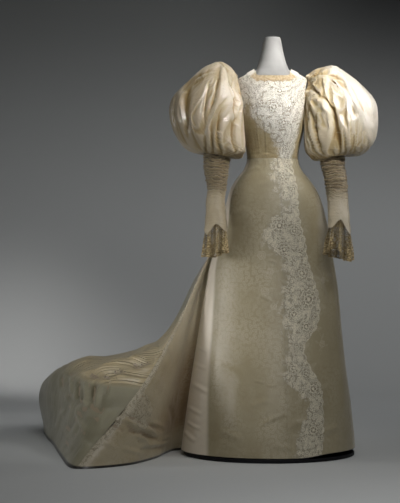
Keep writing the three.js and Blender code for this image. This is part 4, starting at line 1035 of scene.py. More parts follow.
def form_material():
    t = Tree("form_cover")
    c = t.node("TexCoord", 3)
    n = t.noise(c, 9.0, 3, 0.5)
    w = t.noise(c, 700.0, 2, 0.6)
    t.set(Base_Color=t.mix(t.smooth(n, 0.3, 0.7), (0.32, 0.314, 0.298), (0.22, 0.215, 0.205)), Roughness=0.62,
          Normal=t.bump(t.math("ADD", w, t.math("MULTIPLY", n, 0.4)), 0.0003, 0.5), Sheen_Weight=0.1)
    return t.mat


def black_material(name, rough, grain):
    t = Tree(name)
    c = t.node("TexCoord", 3)
    n = t.noise(c, grain, 4, 0.6)
    m = t.noise(c, 6.0, 3, 0.5)
    t.set(Base_Color=t.mix(n, (0.004, 0.004, 0.005), (0.009, 0.009, 0.011)), Specular_IOR_Level=0.2, Roughness=t.math("ADD", rough, t.math("MULTIPLY", m, 0.15)), Normal=t.bump(n, 0.0004, 0.5))
    return t.mat


# ------------------------------------------------------------------------------------------------ pieces
def lines(a, b, n):
    return np.linspace(a, b, n)


PIECES = []


def add(ob, node):
    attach(ob, "root")
    if node:
        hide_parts(node)
    PIECES.append(ob)
    return ob


def seam_dip(shape, reach, depth, sides=(True, True)):
    """Rolls the cloth in at its sewn side edges; reach in columns."""
    i = np.arange(shape[0], dtype=float)[:, None]
    h = np.zeros(shape)
    if sides[0]:
        h -= depth * np.exp(-((i / reach) ** 2))
    if sides[1]:
        h -= depth * np.exp(-(((shape[0] - 1 - i) / reach) ** 2))
    return h


# ---- bodice
def bodice_grid(d0, d1, nu, nv, cut0, cut1):
    """deg runs from d0 to d1; cut0 and cut1 are how far each side is cut in at the armhole."""
    w = np.linspace(1, 0, nv)[None, :]
    cut = arm_cut(mix(BODICE_Z, SHOULDER_Z, w))
    s = np.linspace(0, 1, nu)[:, None]
    deg = mix(d0 + cut0 * cut, d1 + cut1 * cut, s)
    return deg + 0 * w, body(deg, mix(WAIST_Z + 0.3, NECK["z"](away(deg)), w)), w + 0 * s


def bodice_folds(deg, P, w, back=False):
    z, a = P[..., 2], away(deg)
    low = 1 - ramp(1170, 1260, z)
    ribs = np.zeros(z.shape)
    for r in (14, 30, 46, 64, 118, 138, 158):
        ribs += 0.9 * np.exp(-(((a - r) / 1.6) ** 2)) * low - 0.5 * np.exp(-(((a - r - 3) / 2.2) ** 2)) * low
    princess = 40 + 16 * ramp(1150, 1330, z)
    seam = -1.3 * np.exp(-(((a - princess) / 1.1) ** 2))
    if back:
        princess = 142 - 14 * ramp(1150, 1330, z)
        seam = -1.3 * np.exp(-(((a - princess) / 1.1) ** 2))
    waist = 1.1 * turbulence(deg / 16, z / 7, 0, 31, 2) * np.exp(-(((z - 1108) / 26) ** 2))
    arm = 1.6 * turbulence(deg / 9, z / 26, 0, 33, 2) * ramp(44, 62, np.minimum(a, 180 - a)) * np.exp(-(((z - 1290) / 60) ** 2))
    soft = 0.7 * turbulence(deg / 22, z / 40, 0, 35, 2)
    return (ribs + seam + waist + arm + soft) * ramp(WAIST_Z, WAIST_Z + 14, z)


TRIM = math.degrees(0.25 / 110)
deg, P, w = bodice_grid(90 - TRIM, -90 + TRIM, 136, 112, -27, 27)
P = push(P, bodice_folds(deg, P, w) - 0.4 + seam_dip(deg.shape, 1.6, 0.5))
U, S = cloth_uv(P, 67)
low = columns(BODICE_LOW, "u")
reach = low["s"](U) - S + 22 * turbulence(U / 26, S / 26, 0, 37, 3)
atts = brocade(U, S, BODICE_FLOWERS, band=20 + 0 * U, faint=0.35, show=mix(0.12, 1.0, ramp(-34, 30, reach)), seed=4,
               vines=[table("u s", [[-104, 22], [-66, 64], [-52, 118], [2, 128], [38, 188], [64, 236], [44, 282]]), table("u s", [[-22, 34], [24, 66], [62, 134], [112, 142]])])
BODICE_FRONT = add(shell("dress_bodice_front", P, 1.5, BODICE_SILK, (U, S), attrs=atts.items()), "bodice_front")
for which, sign in (("right", 1), ("left", -1)):
    d0, d1 = (180 - TRIM, 90 + TRIM) if sign > 0 else (-90 - TRIM, -180 + TRIM)
    deg, P, w = bodice_grid(d0, d1, 73, 112, 0 if sign > 0 else -23, 23 if sign > 0 else 0)
    P = push(P, bodice_folds(deg, P, w, True) - 0.4 + seam_dip(deg.shape, 1.4, 0.5))
    # the centre back closes with hooks under a narrow placket
    placket = np.exp(-(((away(deg) - 176.5) / 1.0) ** 2)) * 0.9
    P = push(P, -placket)
    U, S = cloth_uv(P, 0 if sign > 0 else 72)
    U = np.abs(U) * -1
    reach = 120 + 20 * np.sin(U / 30) - S + 22 * turbulence(U / 26, S / 26, 0, 38, 3)
    atts = brocade(U, S, BACK_FLOWERS, band=20 + 0 * U, faint=0.35, show=mix(0.12, 1.0, ramp(-34, 30, reach)), seed=6)
    ob = add(shell("dress_bodice_back_" + which, P, 1.5, BODICE_SILK, (U, S), attrs=atts.items()), "bodice_back_" + which)


# ---- skirt
def seam_deg(v):
    """The right side-back seam, from the waist to the front corner of the train."""
    return curve([0, 0.2, 0.45, 0.62, 0.72, 0.8, 0.9, 1.0], [128, 128, 126, 123.4, 122.6, 123.2, 124, 125.6])(v)


def skirt_grid(left, right, nu, nv, spread=None):
    """Columns from the left limit in degrees to the right one, each a function of v; rows from waist to hem."""
    v = np.linspace(0, 1, nv)[None, :]
    s = np.linspace(0, 1, nu)[:, None] if spread is None else spread[:, None]
    a, b = left(v) if callable(left) else left, right(v) if callable(right) else right
    deg = mix(a, b, s) + 0 * v
    vv = v + 0 * s
    mid = skirt_point(deg, vv)
    trim = np.degrees(0.2 / np.maximum(60, np.hypot(mid[..., 0], mid[..., 1])))
    deg = mix(a - trim, b + trim, s)
    return deg, vv, skirt_point(deg, vv)


def skirt_folds(deg, v, P, amount=1.0):
    x, z = P[..., 0], P[..., 2]
    fall = ramp(0.05, 0.5, v)
    soft = 2.6 * fall * noise(deg / 17, v * 1.3, 0.5, 41) + 1.3 * fall * noise(deg / 8, v * 2.2, 2.5, 43)
    fine = 0.5 * turbulence(x / 60, z / 38, 0, 45, 3)
    waist = 1.0 * np.exp(-((v / 0.03) ** 2)) * noise(deg / 4, v * 20, 0, 47)
    return amount * soft + (fine + waist) * ramp(0.0, 0.012, v)


NV = 283
edge_cols = np.concatenate([np.linspace(0, 0.12, 31)[:-1], np.linspace(0.12, 1, 121)])
deg, v, P = skirt_grid(FOLD_SEAM, FRONT_SEAM, len(edge_cols), NV, edge_cols)
h = skirt_folds(deg, v, P) * (1 - 0.6 * ramp(74, 84, deg)) + 1.5 * crease(P, SKIRT_CREASES) * (1 - ramp(82, 86, deg)) - 0.4
h += seam_dip(deg.shape, 1.5, 0.7, (True, True))
P = push(P, h)
U, S = cloth_uv(P, len(edge_cols) - 1)
atts = brocade(U, S, FRONT_FLOWERS, FRONT_VINES, front_band(U, S), faint=0.36, show=1 - ramp(-5, 7, deg - curve([0, 0.38, 0.445, 0.68, 1.0], [66, 62, 58.5, 52.5, 44])(v)), seed=2)
hem = ramp(0.9955, 0.9985, v)
add_front = shell("dress_skirt_front_right", P, 1.6, BROCADE, (U, S), attrs=list(atts.items()) + [("hem", hem)], floor=True)
add(add_front, "skirt_front_right")
AREAS = {"skirt_front_right": area_of(P)}

deg, v, P = skirt_grid(FRONT_SEAM, SIDE_SEAM, 121, NV)
P = push(P, skirt_folds(deg, v, P) + 1.5 * crease(P, SKIRT_CREASES) - 0.4 + seam_dip(deg.shape, 1.5, 0.7))
U, S = cloth_uv(P, 0)
atts = brocade(U, S, FRONT_FLOWERS, FRONT_VINES, front_band(U, S), faint=0.22, seed=2)
ob = add(shell("dress_skirt_front_left", P, 1.6, BROCADE, (U, S), attrs=list(atts.items()) + [("hem", ramp(0.9955, 0.9985, v))], floor=True), "skirt_front_left")
AREAS["skirt_front_left"] = area_of(P)

deg, v, P = skirt_grid(SIDE_SEAM, BACK_SEAM, 85, 211)
P = push(P, skirt_folds(deg, v, P, 1.6) - 0.4 + seam_dip(deg.shape, 1.3, 0.7))
U, S = cloth_uv(P, 0)
atts = brocade(U, S, SIDE_FLOWERS, [table("u s", [[f["u"], f["s"]] for f in SIDE_FLOWERS])], 34 + 6 * np.abs(np.sin(S / 12)) - np.abs(U - 60 - S * 0.09 - 22 * np.sin(S / 90)), faint=0.25, seed=8)
ob = add(shell("dress_skirt_side_left", P, 1.6, BROCADE, (U, S), attrs=list(atts.items()) + [("hem", ramp(0.997, 0.9994, v))], floor=True), "skirt_side_left")
AREAS["skirt_side_left"] = area_of(P)


def train_folds(deg, v, P, seed=51):
    """Organ pipes that sharpen below the waist, and soft cloth lying on the mound."""
    pipe = 4.5 * ramp(0.02, 0.25, v) * (1 - ramp(0.45, 0.75, v)) * noise(deg / 6.5, v * 1.1, 0, seed)
    lie = ramp(0.5, 0.7, v)
    soft = 3.2 * lie * noise(P[..., 0] / 95, P[..., 1] / 110, P[..., 2] / 80, seed + 1)
    mid = 1.6 * lie * (1 - 1.6 * np.abs(noise(P[..., 0] / 60, P[..., 1] / 48, P[..., 2] / 50, seed + 3)))
    fine = 0.4 * turbulence(P[..., 0] / 34, P[..., 1] / 30, P[..., 2] / 34, seed + 5, 3)
    return (pipe + soft + mid) * (1 - ramp(0.985, 1.0, v)) + fine


deg, v, P = skirt_grid(360 + BACK_SEAM, 180, 106, 211)
P = push(P, train_folds(deg, v, P, 61) - 0.4 + seam_dip(deg.shape, 1.3, 0.7))
U, S = cloth_uv(P, 0)
ob = add(shell("dress_train_back_left", P, 1.6, TRAIN_SATIN, (U, S), attrs=[("hem", ramp(0.989, 0.994, v))], floor=True), "train_back_left")
AREAS["train_back_left"] = area_of(P)

deg, v, P = skirt_grid(180, seam_deg, 136, 241)
slope = P[..., 2] < 262
creases = np.where(slope, 1.7, 1.3) * crease(P, TRAIN_CREASES) * ramp(0.55, 0.66, v) * (1 - ramp(150, 165, deg))
on_top = clamp((P[..., 2] - 258) / (18 + 90 * ramp(138, 162, deg)), 0, 1) * ramp(0.47, 0.62, v) * (1 - ramp(150, 180, deg))
P = push(P, train_folds(deg, v, P, 51) + creases - 0.4 + seam_dip(deg.shape, 1.3, 0.7))
# painted shade in the troughs and painted highlight on the crests of the train's folds; the top of the mound painted
# paler and more golden as light falling on it
low_ = clamp(soften(((soften(P, 12, False) - P) * normals(P)).sum(-1), 4, False) / 3.2, -1, 1)
U, S = cloth_uv(P, 0)
ob = add(shell("dress_train_back_right", P, 1.6, TRAIN_SATIN, (U, S), attrs=[("hem", ramp(0.989, 0.994, v)), ("painted_shading", low_), ("painted_light", on_top * (0.75 - 0.25 * low_)), ("gathered", 0.08 + 0.92 * on_top)], floor=True), "train_back_right")
AREAS["train_back_right"] = area_of(P)

deg, v, P = skirt_grid(seam_deg, FOLD_SEAM, 127, 241)
gore_creases = 1.3 * crease(P, GORE_CREASES) * ramp(98, 103, deg)
P = push(P, train_folds(deg, v, P, 71) * 0.8 + gore_creases - 0.4 + seam_dip(deg.shape, 1.3, 0.7))
# painted shadow in the valley beside the front panel's edge and in the troughs of the gore's creases
valley_shadow = 0.9 * (1 - ramp(92, 116, deg - 5 * ramp(0.8, 0.92, v))) * ramp(0.58, 0.78, v) * (1 - ramp(0.89, 0.97, v))
U, S = cloth_uv(P, 0)
strip = 17 + 4.5 * np.abs(np.sin(S / 8.6)) - np.abs(U - 4)
corner = 60 + 8 * np.abs(np.sin(S / 13 + U / 17)) - np.hypot(np.maximum(0, U - 110) * 0.8, S - 1100)
atts = brocade(U, S, GORE_FLOWERS, [table("u s", [[62, 1010], [66, 930], [76, 790], [66, 690], [60, 610], [96, 520], [70, 430], [110, 340]])], np.maximum(strip, corner), faint=0.55, seed=10)
# painted light: the upper part of the gore made paler, where light falls on it
ob = add(shell("dress_skirt_side_right", P, 1.6, GORE_SILK, (U, S), attrs=list(atts.items()) + [("hem", ramp(0.989, 0.994, v)), ("painted_shading", clamp(np.maximum(valley_shadow, -gore_creases / 9), -0.4, 1)), ("painted_light", 0.7 * (1 - ramp(0.52, 0.74, v + 0.002 * (deg - 105))))], floor=True), "skirt_side_right")
AREAS["skirt_side_right"] = area_of(P)

# ---- sleeves
for which in ("right", "left"):
    turn = 1 if which == "right" else -1
    nu, nv = 223, 109
    v = (0.5 - 0.5 * np.cos(np.pi * np.linspace(0, 1, nv))) * 0.6 + np.linspace(0, 1, nv) * 0.4
    P = balloon(which, nu, v)
    deg, v = np.broadcast_arrays(turn * np.linspace(0, 360, nu)[:, None], v[None, :])
    seed = 81 if which == "right" else 91
    top, foot = np.exp(-(((v - 0.03) / 0.09) ** 2)), np.exp(-(((1 - v) / 0.10) ** 2))
    h = pleats(deg, v * 2.0, 7, 1.5, seed + 2) * (1.3 * top + 1.8 * foot) + pleats(deg, v * 2.4, 3.9, 2.0, seed + 4) * (0.9 * top + 1.2 * foot)
    h += 0.45 * turbulence(P[..., 0] / 26, P[..., 2] / 34, P[..., 1] / 26, seed + 6, 3)
    h += 0.15 * falls(PUFF_FALLS[which], P, normals(P, True), seed)
    over = ramp(0, 80, turn * P[..., 0] + (215 if which == "right" else 225)) * ramp(1090, 1112, P[..., 2]) * (1 - ramp(1280, 1370, P[..., 2]))
    over = over * (5 + (30 if which == "right" else 18) * ramp(-20, -95, P[..., 1]))
    P = P + over[..., None] * np.array([turn, 0, 0])
    P = push(P, h * ramp(0.0, 0.02, v) * ramp(0.0, 0.02, 1 - v), True)
    P[-1] = P[0]
    U, S = cloth_uv(P, 0)
    inside = lining_of(P, P[:-1].mean(0))
    # painted shade in the folds and at the foot of the balloon, painted highlight on its crests
    painted_shading = clamp(((soften(P, 24) - P) * normals(P, True)).sum(-1) / 5.5 + 0.3 * ramp(0.72, 0.95, v), -1, 1)
    gathered = 0.4 + 0.6 * np.maximum(np.exp(-((v / 0.3) ** 2)), ramp(0.66, 0.92, v))
    # painted light: paler on the side facing the light from the upper right front, less so on the wearer's right puff
    lit_side = ramp(0.25, 0.92, normals(soften(P, 12), True) @ unit(np.array([0.72, -0.38, 0.58]))) * (1 - 0.5 * ramp(0.7, 0.95, v)) * (1 - 0.75 * ramp(0.05, 0.6, painted_shading))
    ob = add(shell("dress_sleeve_puff_" + which, P, 1.5, SATIN_SHADED_RIGHT if which == "right" else SATIN, (U, S), wrap=True, sharp=80, inner=inside, attrs=[("painted_shading", painted_shading), ("gathered", gathered), ("painted_light", (0.4 if which == "right" else 0.9) * lit_side)]), "sleeve_puff_" + which)
    AREAS["sleeve_puff_" + which] = area_of(P)

    # lower sleeve: close rows of ruching above, smoother towards the wrist, which is cut up in a V
    nu, nv = 113, 169
    deg = -np.linspace(0, 360, nu)[:, None] + np.zeros((1, nv))
    v = np.linspace(0, 1, nv)[None, :] + np.zeros((nu, 1))
    c = LOWER_AT[which]
    wrap_deg = np.mod(deg + 540, 360) - 180
    z = mix(1127.0, WRIST_AT[which](wrap_deg), v)
    P = tube_at(c, deg, z)
    R, sx, sy = 1.35, sind(deg), cosd(deg)
    warp = 5.0 * noise(sx * 1.1, sy * 1.1, z / 34, seed + 11) + 2.6 * noise(sx * 2.6, sy * 2.6, z / 16, seed + 12)
    pitch = 12.0 if which == "right" else 13.0
    phase = (z + warp * 1.5) / pitch
    ridge = 2 * np.abs(np.sin(np.pi * phase)) ** 0.75 - 1
    ridge2 = 2 * np.abs(np.sin(np.pi * (phase * 1.55 + 0.37 + noise(sx * 1.5, sy * 1.5, z / 25, seed + 13)))) ** 0.8 - 1
    live = 0.55 + 0.6 * noise(sx * 2.0, sy * 2.0, z / 12, seed + 14)
    low = ramp(925, 1010, z) if which == "right" else ramp(905, 1000, z)
    h = (4.0 * ridge * clamp(live, 0, 1.2) + 2.2 * ridge2) * (0.14 + 0.86 * low)
    # painted shade in the valleys of the ruching
    valley = (np.maximum(ramp(0.35, -0.35, ridge) * clamp(0.4 + live, 0, 1), 0.9 * ramp(0.2, -0.45, ridge2)) - 0.25 * ramp(0.5, 0.9, ridge)) * (0.12 + 0.88 * low)
    h += 1.1 * (1 - low) * turbulence(sx * 1.6, sy * 1.6, z / 30, seed + 16, 3)
    tight = ramp(0.985, 1.0, v)
    h = h * (1 - tight) - 0.8
    P = push(P, h, True)
    P[-1] = P[0]
    U, S = cloth_uv(P, 0)
    # painted light: the smooth lower part paler than the ruched top, which lies in the shade of the puff
    ob = add(shell("dress_sleeve_lower_" + which, P, 1.4, SLEEVE_SATIN, (U, S), wrap=True, step=2, sharp=70, attrs=[("ruched", 0.3 + 0.7 * low), ("painted_shading", clamp(valley, -0.5, 1)), ("painted_light", (0.45 if which == "right" else 0.75) * (1 - low))]), "sleeve_lower_" + which)
    AREAS["sleeve_lower_" + which] = area_of(P)


# ---- lace: threads cut out of a field by marching squares, so that the holes are real
CASES = {1: [(0, 4, 7)], 2: [(1, 5, 4)], 3: [(0, 1, 5, 7)], 4: [(2, 6, 5)], 5: [(0, 4, 7), (2, 6, 5)], 6: [(1, 2, 6, 4)], 7: [(0, 1, 2, 6, 7)],
         8: [(3, 7, 6)], 9: [(0, 4, 6, 3)], 10: [(1, 5, 4), (3, 7, 6)], 11: [(0, 1, 5, 6, 3)], 12: [(2, 3, 7, 5)], 13: [(0, 4, 5, 2, 3)], 14: [(1, 2, 3, 7, 4)], 15: [(0, 1, 2, 3)]}


def cut_lace(name, point, U, V, field, thick, material, wrap=False, hollow_shade=None):
    """point(u, v) places the cloth; U and V are grid lines in mm; the field is over 0 where there is thread."""
    nu, nv = len(U), len(V)
    F = field(U[:, None], V[None, :])
    if wrap:
        F[-1] = F[0]
    F = np.where(np.abs(F) < 1e-3, 1e-3, F)
    gu, gv = np.meshgrid(U, V, indexing="ij")
    node = np.arange(nu * nv).reshape(nu, nv)
    tu = clamp(F[:-1] / (F[:-1] - F[1:] + 1e-30), 0.06, 0.94)
    tv = clamp(F[:, :-1] / (F[:, :-1] - F[:, 1:] + 1e-30), 0.06, 0.94)
    eu = nu * nv + np.arange((nu - 1) * nv).reshape(nu - 1, nv)
    ev = nu * nv + (nu - 1) * nv + np.arange(nu * (nv - 1)).reshape(nu, nv - 1)
    pu = np.concatenate([gu.ravel(), mix(gu[:-1], gu[1:], tu).ravel(), gu[:, :-1].ravel()])
    pv = np.concatenate([gv.ravel(), gv[:-1].ravel(), mix(gv[:, :-1], gv[:, 1:], tv).ravel()])
    inside = F > 0
    case = inside[:-1, :-1] * 1 + inside[1:, :-1] * 2 + inside[1:, 1:] * 4 + inside[:-1, 1:] * 8
    corner = [node[:-1, :-1], node[1:, :-1], node[1:, 1:], node[:-1, 1:], eu[:, :-1], ev[1:], eu[:, 1:], ev[:-1]]
    faces = []
    for k, polys in CASES.items():
        m = case == k
        if m.any():
            for poly in polys:
                faces.append(np.stack([corner[c][m] for c in poly], 1)[:, ::-1])
    if wrap:  # the last column is the first one
        remap = np.arange(len(pu))
        remap[node[-1]] = node[0]
        remap[ev[-1]] = ev[0]
        faces_m = [remap[f] for f in faces]
    else:
        faces_m = faces
    used = np.unique(np.concatenate([f.ravel() for f in faces_m]))
    new = np.full(len(pu), -1)
    new[used] = np.arange(len(used))
    e = 0.4
    P = point(pu[used], pv[used])
    n = unit(np.cross(point(pu[used], pv[used] + e) - point(pu[used], pv[used] - e), point(pu[used] + e, pv[used]) - point(pu[used] - e, pv[used])))
    N = len(used)
    verts = np.concatenate([P, P - n * thick]) * MM
    out = [new[f] for f in faces_m]
    raw = faces
    every = np.concatenate([np.stack([f, np.roll(f, -1, 1)], -1).reshape(-1, 2) for f in out])
    key = np.sort(every, 1)
    uniq, idx, count = np.unique(key[:, 0] * (N + 1) + key[:, 1], return_index=True, return_counts=True)
    rim = every[idx[count == 1]]
    back = [f[:, ::-1] + N for f in out]
    side = np.stack([rim[:, 1], rim[:, 0], rim[:, 0] + N, rim[:, 1] + N], 1)
    size_u, size_v = U[-1] - U[0], V[-1] - V[0]
    lo = np.stack([(pu - U[0]) / size_u, (pv - V[0]) / size_v], 1)
    bake_top = [np.stack([0.01 + 0.98 * lo[f][..., 0], 0.99 - 0.6 * lo[f][..., 1]], -1) for f in raw]
    bake_low = [np.stack([0.01 + 0.98 * lo[f[:, ::-1]][..., 0], 0.36 - 0.25 * lo[f[:, ::-1]][..., 1]], -1) for f in raw]
    cell = np.array([[0, 0], [0.6, 0], [0.6, 0.6], [0, 0.6]])
    grid = int(math.ceil(math.sqrt(len(side) / 8))) * 8
    sx, sy = np.arange(len(side)) % grid, np.arange(len(side)) // grid
    step = 0.98 / grid
    bake_side = np.stack([0.01 + (sx[:, None] + cell[None, :, 0]) * step, 0.005 + (sy[:, None] + cell[None, :, 1]) * (0.1 / (sy.max() + 1))], -1)
    metres = np.stack([pu, pv], 1) * MM
    cloth_top = [metres[f] for f in raw]
    cloth_low = [metres[f[:, ::-1]] for f in raw]
    first = np.zeros(N, int)
    first[new[used]] = used
    cs = metres[first]
    cloth_side = np.stack([cs[rim[:, 1]], cs[rim[:, 0]], cs[rim[:, 0]], cs[rim[:, 1]]], 1)
    ob = make_object(name, verts, out + back + [side], [("OFBake", bake_top + bake_low + [bake_side]), ("Cloth", cloth_top + cloth_low + [cloth_side])],
                     [("painted_shading", np.tile(hollow_shade(pu[used], pv[used]), 2))] if hollow_shade else (), material, sharp=40)
    AREAS[name] = sum(area_poly(P[f]) for f in out)
    return ob


def area_poly(Q):
    total = 0.0
    for k in range(1, Q.shape[1] - 1):
        total += np.linalg.norm(np.cross(Q[:, k] - Q[:, 0], Q[:, k + 1] - Q[:, 0]), axis=-1).sum() / 2
    return float(total) * MM * MM


def repeat(x, period):
    return np.mod(x + period / 2, period) - period / 2


def lace_field(U, V, length, period, edge):
    """Net, a row of flowers, leaves above them and a scalloped edge; V runs down to the edge at length(U)."""
    L = length(U)
    up = L - V
    x = repeat(U, period)
    p, q = (U + V) / 8.6, (U - V) / 8.6
    net = 0.135 - np.minimum(np.abs(p - np.round(p)), np.abs(q - np.round(q)))
    net = net * 6.0
    r, a = np.hypot(x, up - period * 0.62), np.arctan2(up - period * 0.62, x)
    R = period * 0.3
    flower = np.minimum(R * (0.8 + 0.2 * np.abs(np.cos(3 * a))) - r, 0.75 * np.maximum(np.abs(r - R * 0.45) - 0.55, -9))
    flower = np.maximum(flower, R * 0.24 - r)
    flower = np.where(r < R * 0.8, np.minimum(flower, np.maximum(np.abs(np.sin(3 * a)) * r - 0.55, R * 0.3 - r)), flower)
    ring = 1.0 - np.abs(r - R * 1.28)
    x2 = repeat(U + period / 2, period)
    l1 = np.hypot((np.abs(x2) - period * 0.14) / 1.0, (up - period * 1.42) / 2.1)
    leaf = period * 0.12 - l1
    leaf = np.minimum(leaf, np.abs(np.abs(x2) - period * 0.14) - 0.45)
    r3, a3 = np.hypot(x, up - period * 1.75), np.arctan2(up - period * 1.75, x)
    bud = period * 0.15 * (0.75 + 0.25 * np.cos(5 * a3)) - r3
    r4 = np.hypot(x2, up - period * 2.6)
    dot = period * 0.1 - r4
    stem = 0.75 - np.abs(x2 - 1.2 * np.sin(up / 4.0))
    stem = np.where((up > period * 0.9) & (up < period * 2.5), stem, -5)
    bars = 0.9 - np.abs(up - period * 3.25)
    edge_cord = 1.5 - np.abs(up - 1.6)
    loops = 1.2 - np.abs(np.hypot(repeat(U, period / 5.0), up + 0.4) - period / 10.0)
    every = np.maximum.reduce([net + 0 * U, flower, ring, leaf, bud, dot, stem, bars, edge_cord])
    return np.where(up > 0.2, every, np.where(up > -period / 8.0, loops, -5.0))


for which in ("right", "left"):
    rows = FRILL[which]
    top = rows[0]["z"]
    hem_z = curve([-180, -100, -45, -12, 0, 20, 60, 110, 180], [722, 716, 713, 728, 748, 754, 752, 735, 722]) if which == "left" else curve([-180, -110, -50, -22, -5, 15, 50, 110, 180], [726, 742, 754, 752, 746, 731, 728, 728, 726])
    around = 2 * math.pi * 43.0 * 1.22
    long = top - 700
    seed = 101 if which == "right" else 111
    c = FRILL_AT[which]

    def point(u, v, which=which, around=around, seed=seed, c=c, top=top, ask="place"):
        deg = -(u / around) * 360
        z = top - v
        grow = ramp(40, 150, v)
        k = FRILL_FLUTES * np.radians(deg) + 0.6
        sway = 0.5 * noise(cosd(deg) * 2, sind(deg) * 2, v / 90, seed)
        deep = c["flute"](np.maximum(z, rows[-1]["z"])) + 0.8
        wave = np.cos(k + sway + 0.35 * np.sin(k + sway))
        fine = np.cos(17 * np.radians(deg) + 1.0 + 2 * sway)
        flute = deep * (wave - 0.6 * (1 - wave)) + 3.6 * grow * fine
        # painted shade: how dark the hollows between the flutes are painted
        if ask == "hollow_shade":
            return clamp((0.62 - 0.5 * wave - 0.42 * fine) * ramp(12, 60, v), 0, 1)
        edge = 1.5 * grow * noise(cosd(deg) * 4, sind(deg) * 4, v / 30, seed + 3)
        zz = np.maximum(z, rows[-1]["z"] - 6)
        p = tube_at(c, deg, zz, flute + edge - 0.6)
        p[..., 2] = z
        return p

    def length(u, around=around, hem_z=hem_z, top=top):
        deg = np.mod(-(u / around) * 360 + 540, 360) - 180
        return top - hem_z(deg)

    period = around / 13
    U = np.linspace(0, around, 13 * 16 + 1)
    V = np.arange(0, top - 705, 1.65)
    ob = cut_lace("dress_cuff_lace_" + which, point, U, V, lambda u, v: lace_field(u, v, length, period, 0), 0.7, LACE, wrap=True,
                  hollow_shade=lambda u, v: point(u, v, ask="hollow_shade"))
    add(ob, "cuff_lace_" + which)

# lace round the neckline, standing a little above the bodice's edge
def neck_point(u, v):
    deg = 178.0 - u * (356.0 / NECK_ROUND)
    a = away(deg)
    top = NECK["z"](a) + 5.0 - 5.5 * ramp(38, 58, a) * (1 - ramp(100, 130, a))
    z = top - v * (NECK["lace"](a) + 8.0) / 24.0
    p = body(deg, z)
    e = 0.6
    across = body(deg - e, z) - body(deg + e, z)
    down = body(deg, z - e) - body(deg, z + e)
    n = unit(np.cross(down, across))
    lift = 1.9 + 1.1 * (1 + noise(u / 9.0, v / 14.0, 0, 121)) * ramp(2, 14, v) + 1.2 * ramp(7, 0, v) * (1 + np.sin(u / 3.6)) * 0.5
    return p + n * lift[..., None]


NECK_ROUND = 560.0


def neck_field(U, V):
    x = repeat(U, 20.0)
    low = 22.0 + 2.0 * np.cos(2 * np.pi * U / 20.0)
    up = low - V
    p, q = (U + V) / 5.0, (U - V) / 5.0
    net = (0.2 - np.minimum(np.abs(p - np.round(p)), np.abs(q - np.round(q)))) * 3.6
    r, a = np.hypot(x, V - 12.5), np.arctan2(V - 12.5, x)
    flower = np.minimum(6.6 * (0.8 + 0.2 * np.abs(np.cos(2.5 * a))) - r, np.abs(r - 3.2) - 0.5)
    flower = np.maximum(flower, 1.5 - r)
    x2 = repeat(U + 10, 20.0)
    bud = 2.9 - np.hypot(x2, (V - 12.5) * 0.7)
    bud = np.minimum(bud, np.hypot(x2, V - 12.5) - 0.9)
    cords = np.maximum(1.0 - np.abs(V - 4.2), 1.1 - np.abs(up - 1.2))
    loops = 0.9 - np.abs(np.hypot(repeat(U, 5.0), V - 2.6) - 2.1)
    every = np.maximum.reduce([net + 0 * V, flower, bud, cords])
    return np.where((V > 3.4) & (up > 0.1), every, np.where((V <= 3.4) & (V > 0.3), loops, -5.0))


ob = cut_lace("dress_neck_lace", neck_point, np.linspace(0, NECK_ROUND, 449), np.arange(-0.5, 26, 1.1), neck_field, 0.7, NECK_LACE)
add(ob, "neck_lace")

# ---- dress form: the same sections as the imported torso, finer
levels = np.concatenate([np.linspace(880, 1084, 40), np.linspace(1088, 1528, 100), [1531, 1533.2, 1534.6, 1535.6, 1536.3]])


def form_point(deg, z):
    edge = NECK["z"](away(deg))
    ease = mix(5.5 + 4 * ramp(1320, 1380, z), 1.6 * (1 - ramp(1425, 1465, z)), ramp(edge - 4, edge + 14, z)) + 13 * (1 - ramp(1000, WAIST_Z - 6, z))
    low = z < WAIST_Z
    s = np.where(low, np.minimum(SIDE["right"](z), SIDE["left"](z)), FIG["side"](z)) - ease
    f = np.where(low, SIDE["front"](z), FIG["front"](z)) - ease
    b = np.where(low, SIDE["back"](z), FIG["back"](z)) - ease
    tip = np.sqrt(clamp(1 - ((z - 1530.0) / 7.2) ** 2, 0.0, 1)) * (z > 1530) + (z <= 1530)
    round_ = np.where(z > 1530, 4.0 * (1 - tip), 0)
    x, y = oval(deg, s - round_, f - round_, b - round_, np.where(low, 2.0, 2.15))
    return np.stack(np.broadcast_arrays(x, y, z), -1)


nu = 85
deg = -np.linspace(0, 360, nu)[:, None]
P = form_point(deg, levels[::-1][None, :])[:-1]
ring, nz = P.shape[0], P.shape[1]
gi, gj = np.meshgrid(np.arange(ring), np.arange(nz - 1), indexing="ij")
gi, gj = gi.ravel(), gj.ravel()
nid = lambda i, j: (i % ring) * nz + j
quads = np.stack([nid(gi, gj), nid(gi, gj + 1), nid(gi + 1, gj + 1), nid(gi + 1, gj)], 1)
verts = np.concatenate([P.reshape(-1, 3), [[0, 0, levels[-1] + 0.4], [0, 0, levels[0]]]]) * MM
i = np.arange(ring)
cap = np.concatenate([np.stack([np.full(ring, ring * nz), nid(i, 0), nid(i + 1, 0)], 1), np.stack([np.full(ring, ring * nz + 1), nid(i + 1, nz - 1), nid(i, nz - 1)], 1)])
FORM = make_object("dress_form", verts, [quads, cap], (), (), form_material(), sharp=60)
add(FORM, "form_torso")

for node, mat in (("stand_pole", black_material("stand_steel", 0.28, 60.0)), ("stand_base", black_material("stand_board", 0.5, 140.0))):
    ob = frame["nodes"][node]
    ob = ob if hasattr(ob, "data") else bpy.data.objects[ob if isinstance(ob, str) else node]
    for k in range(len(ob.material_slots)):
        ob.material_slots[k].material = mat

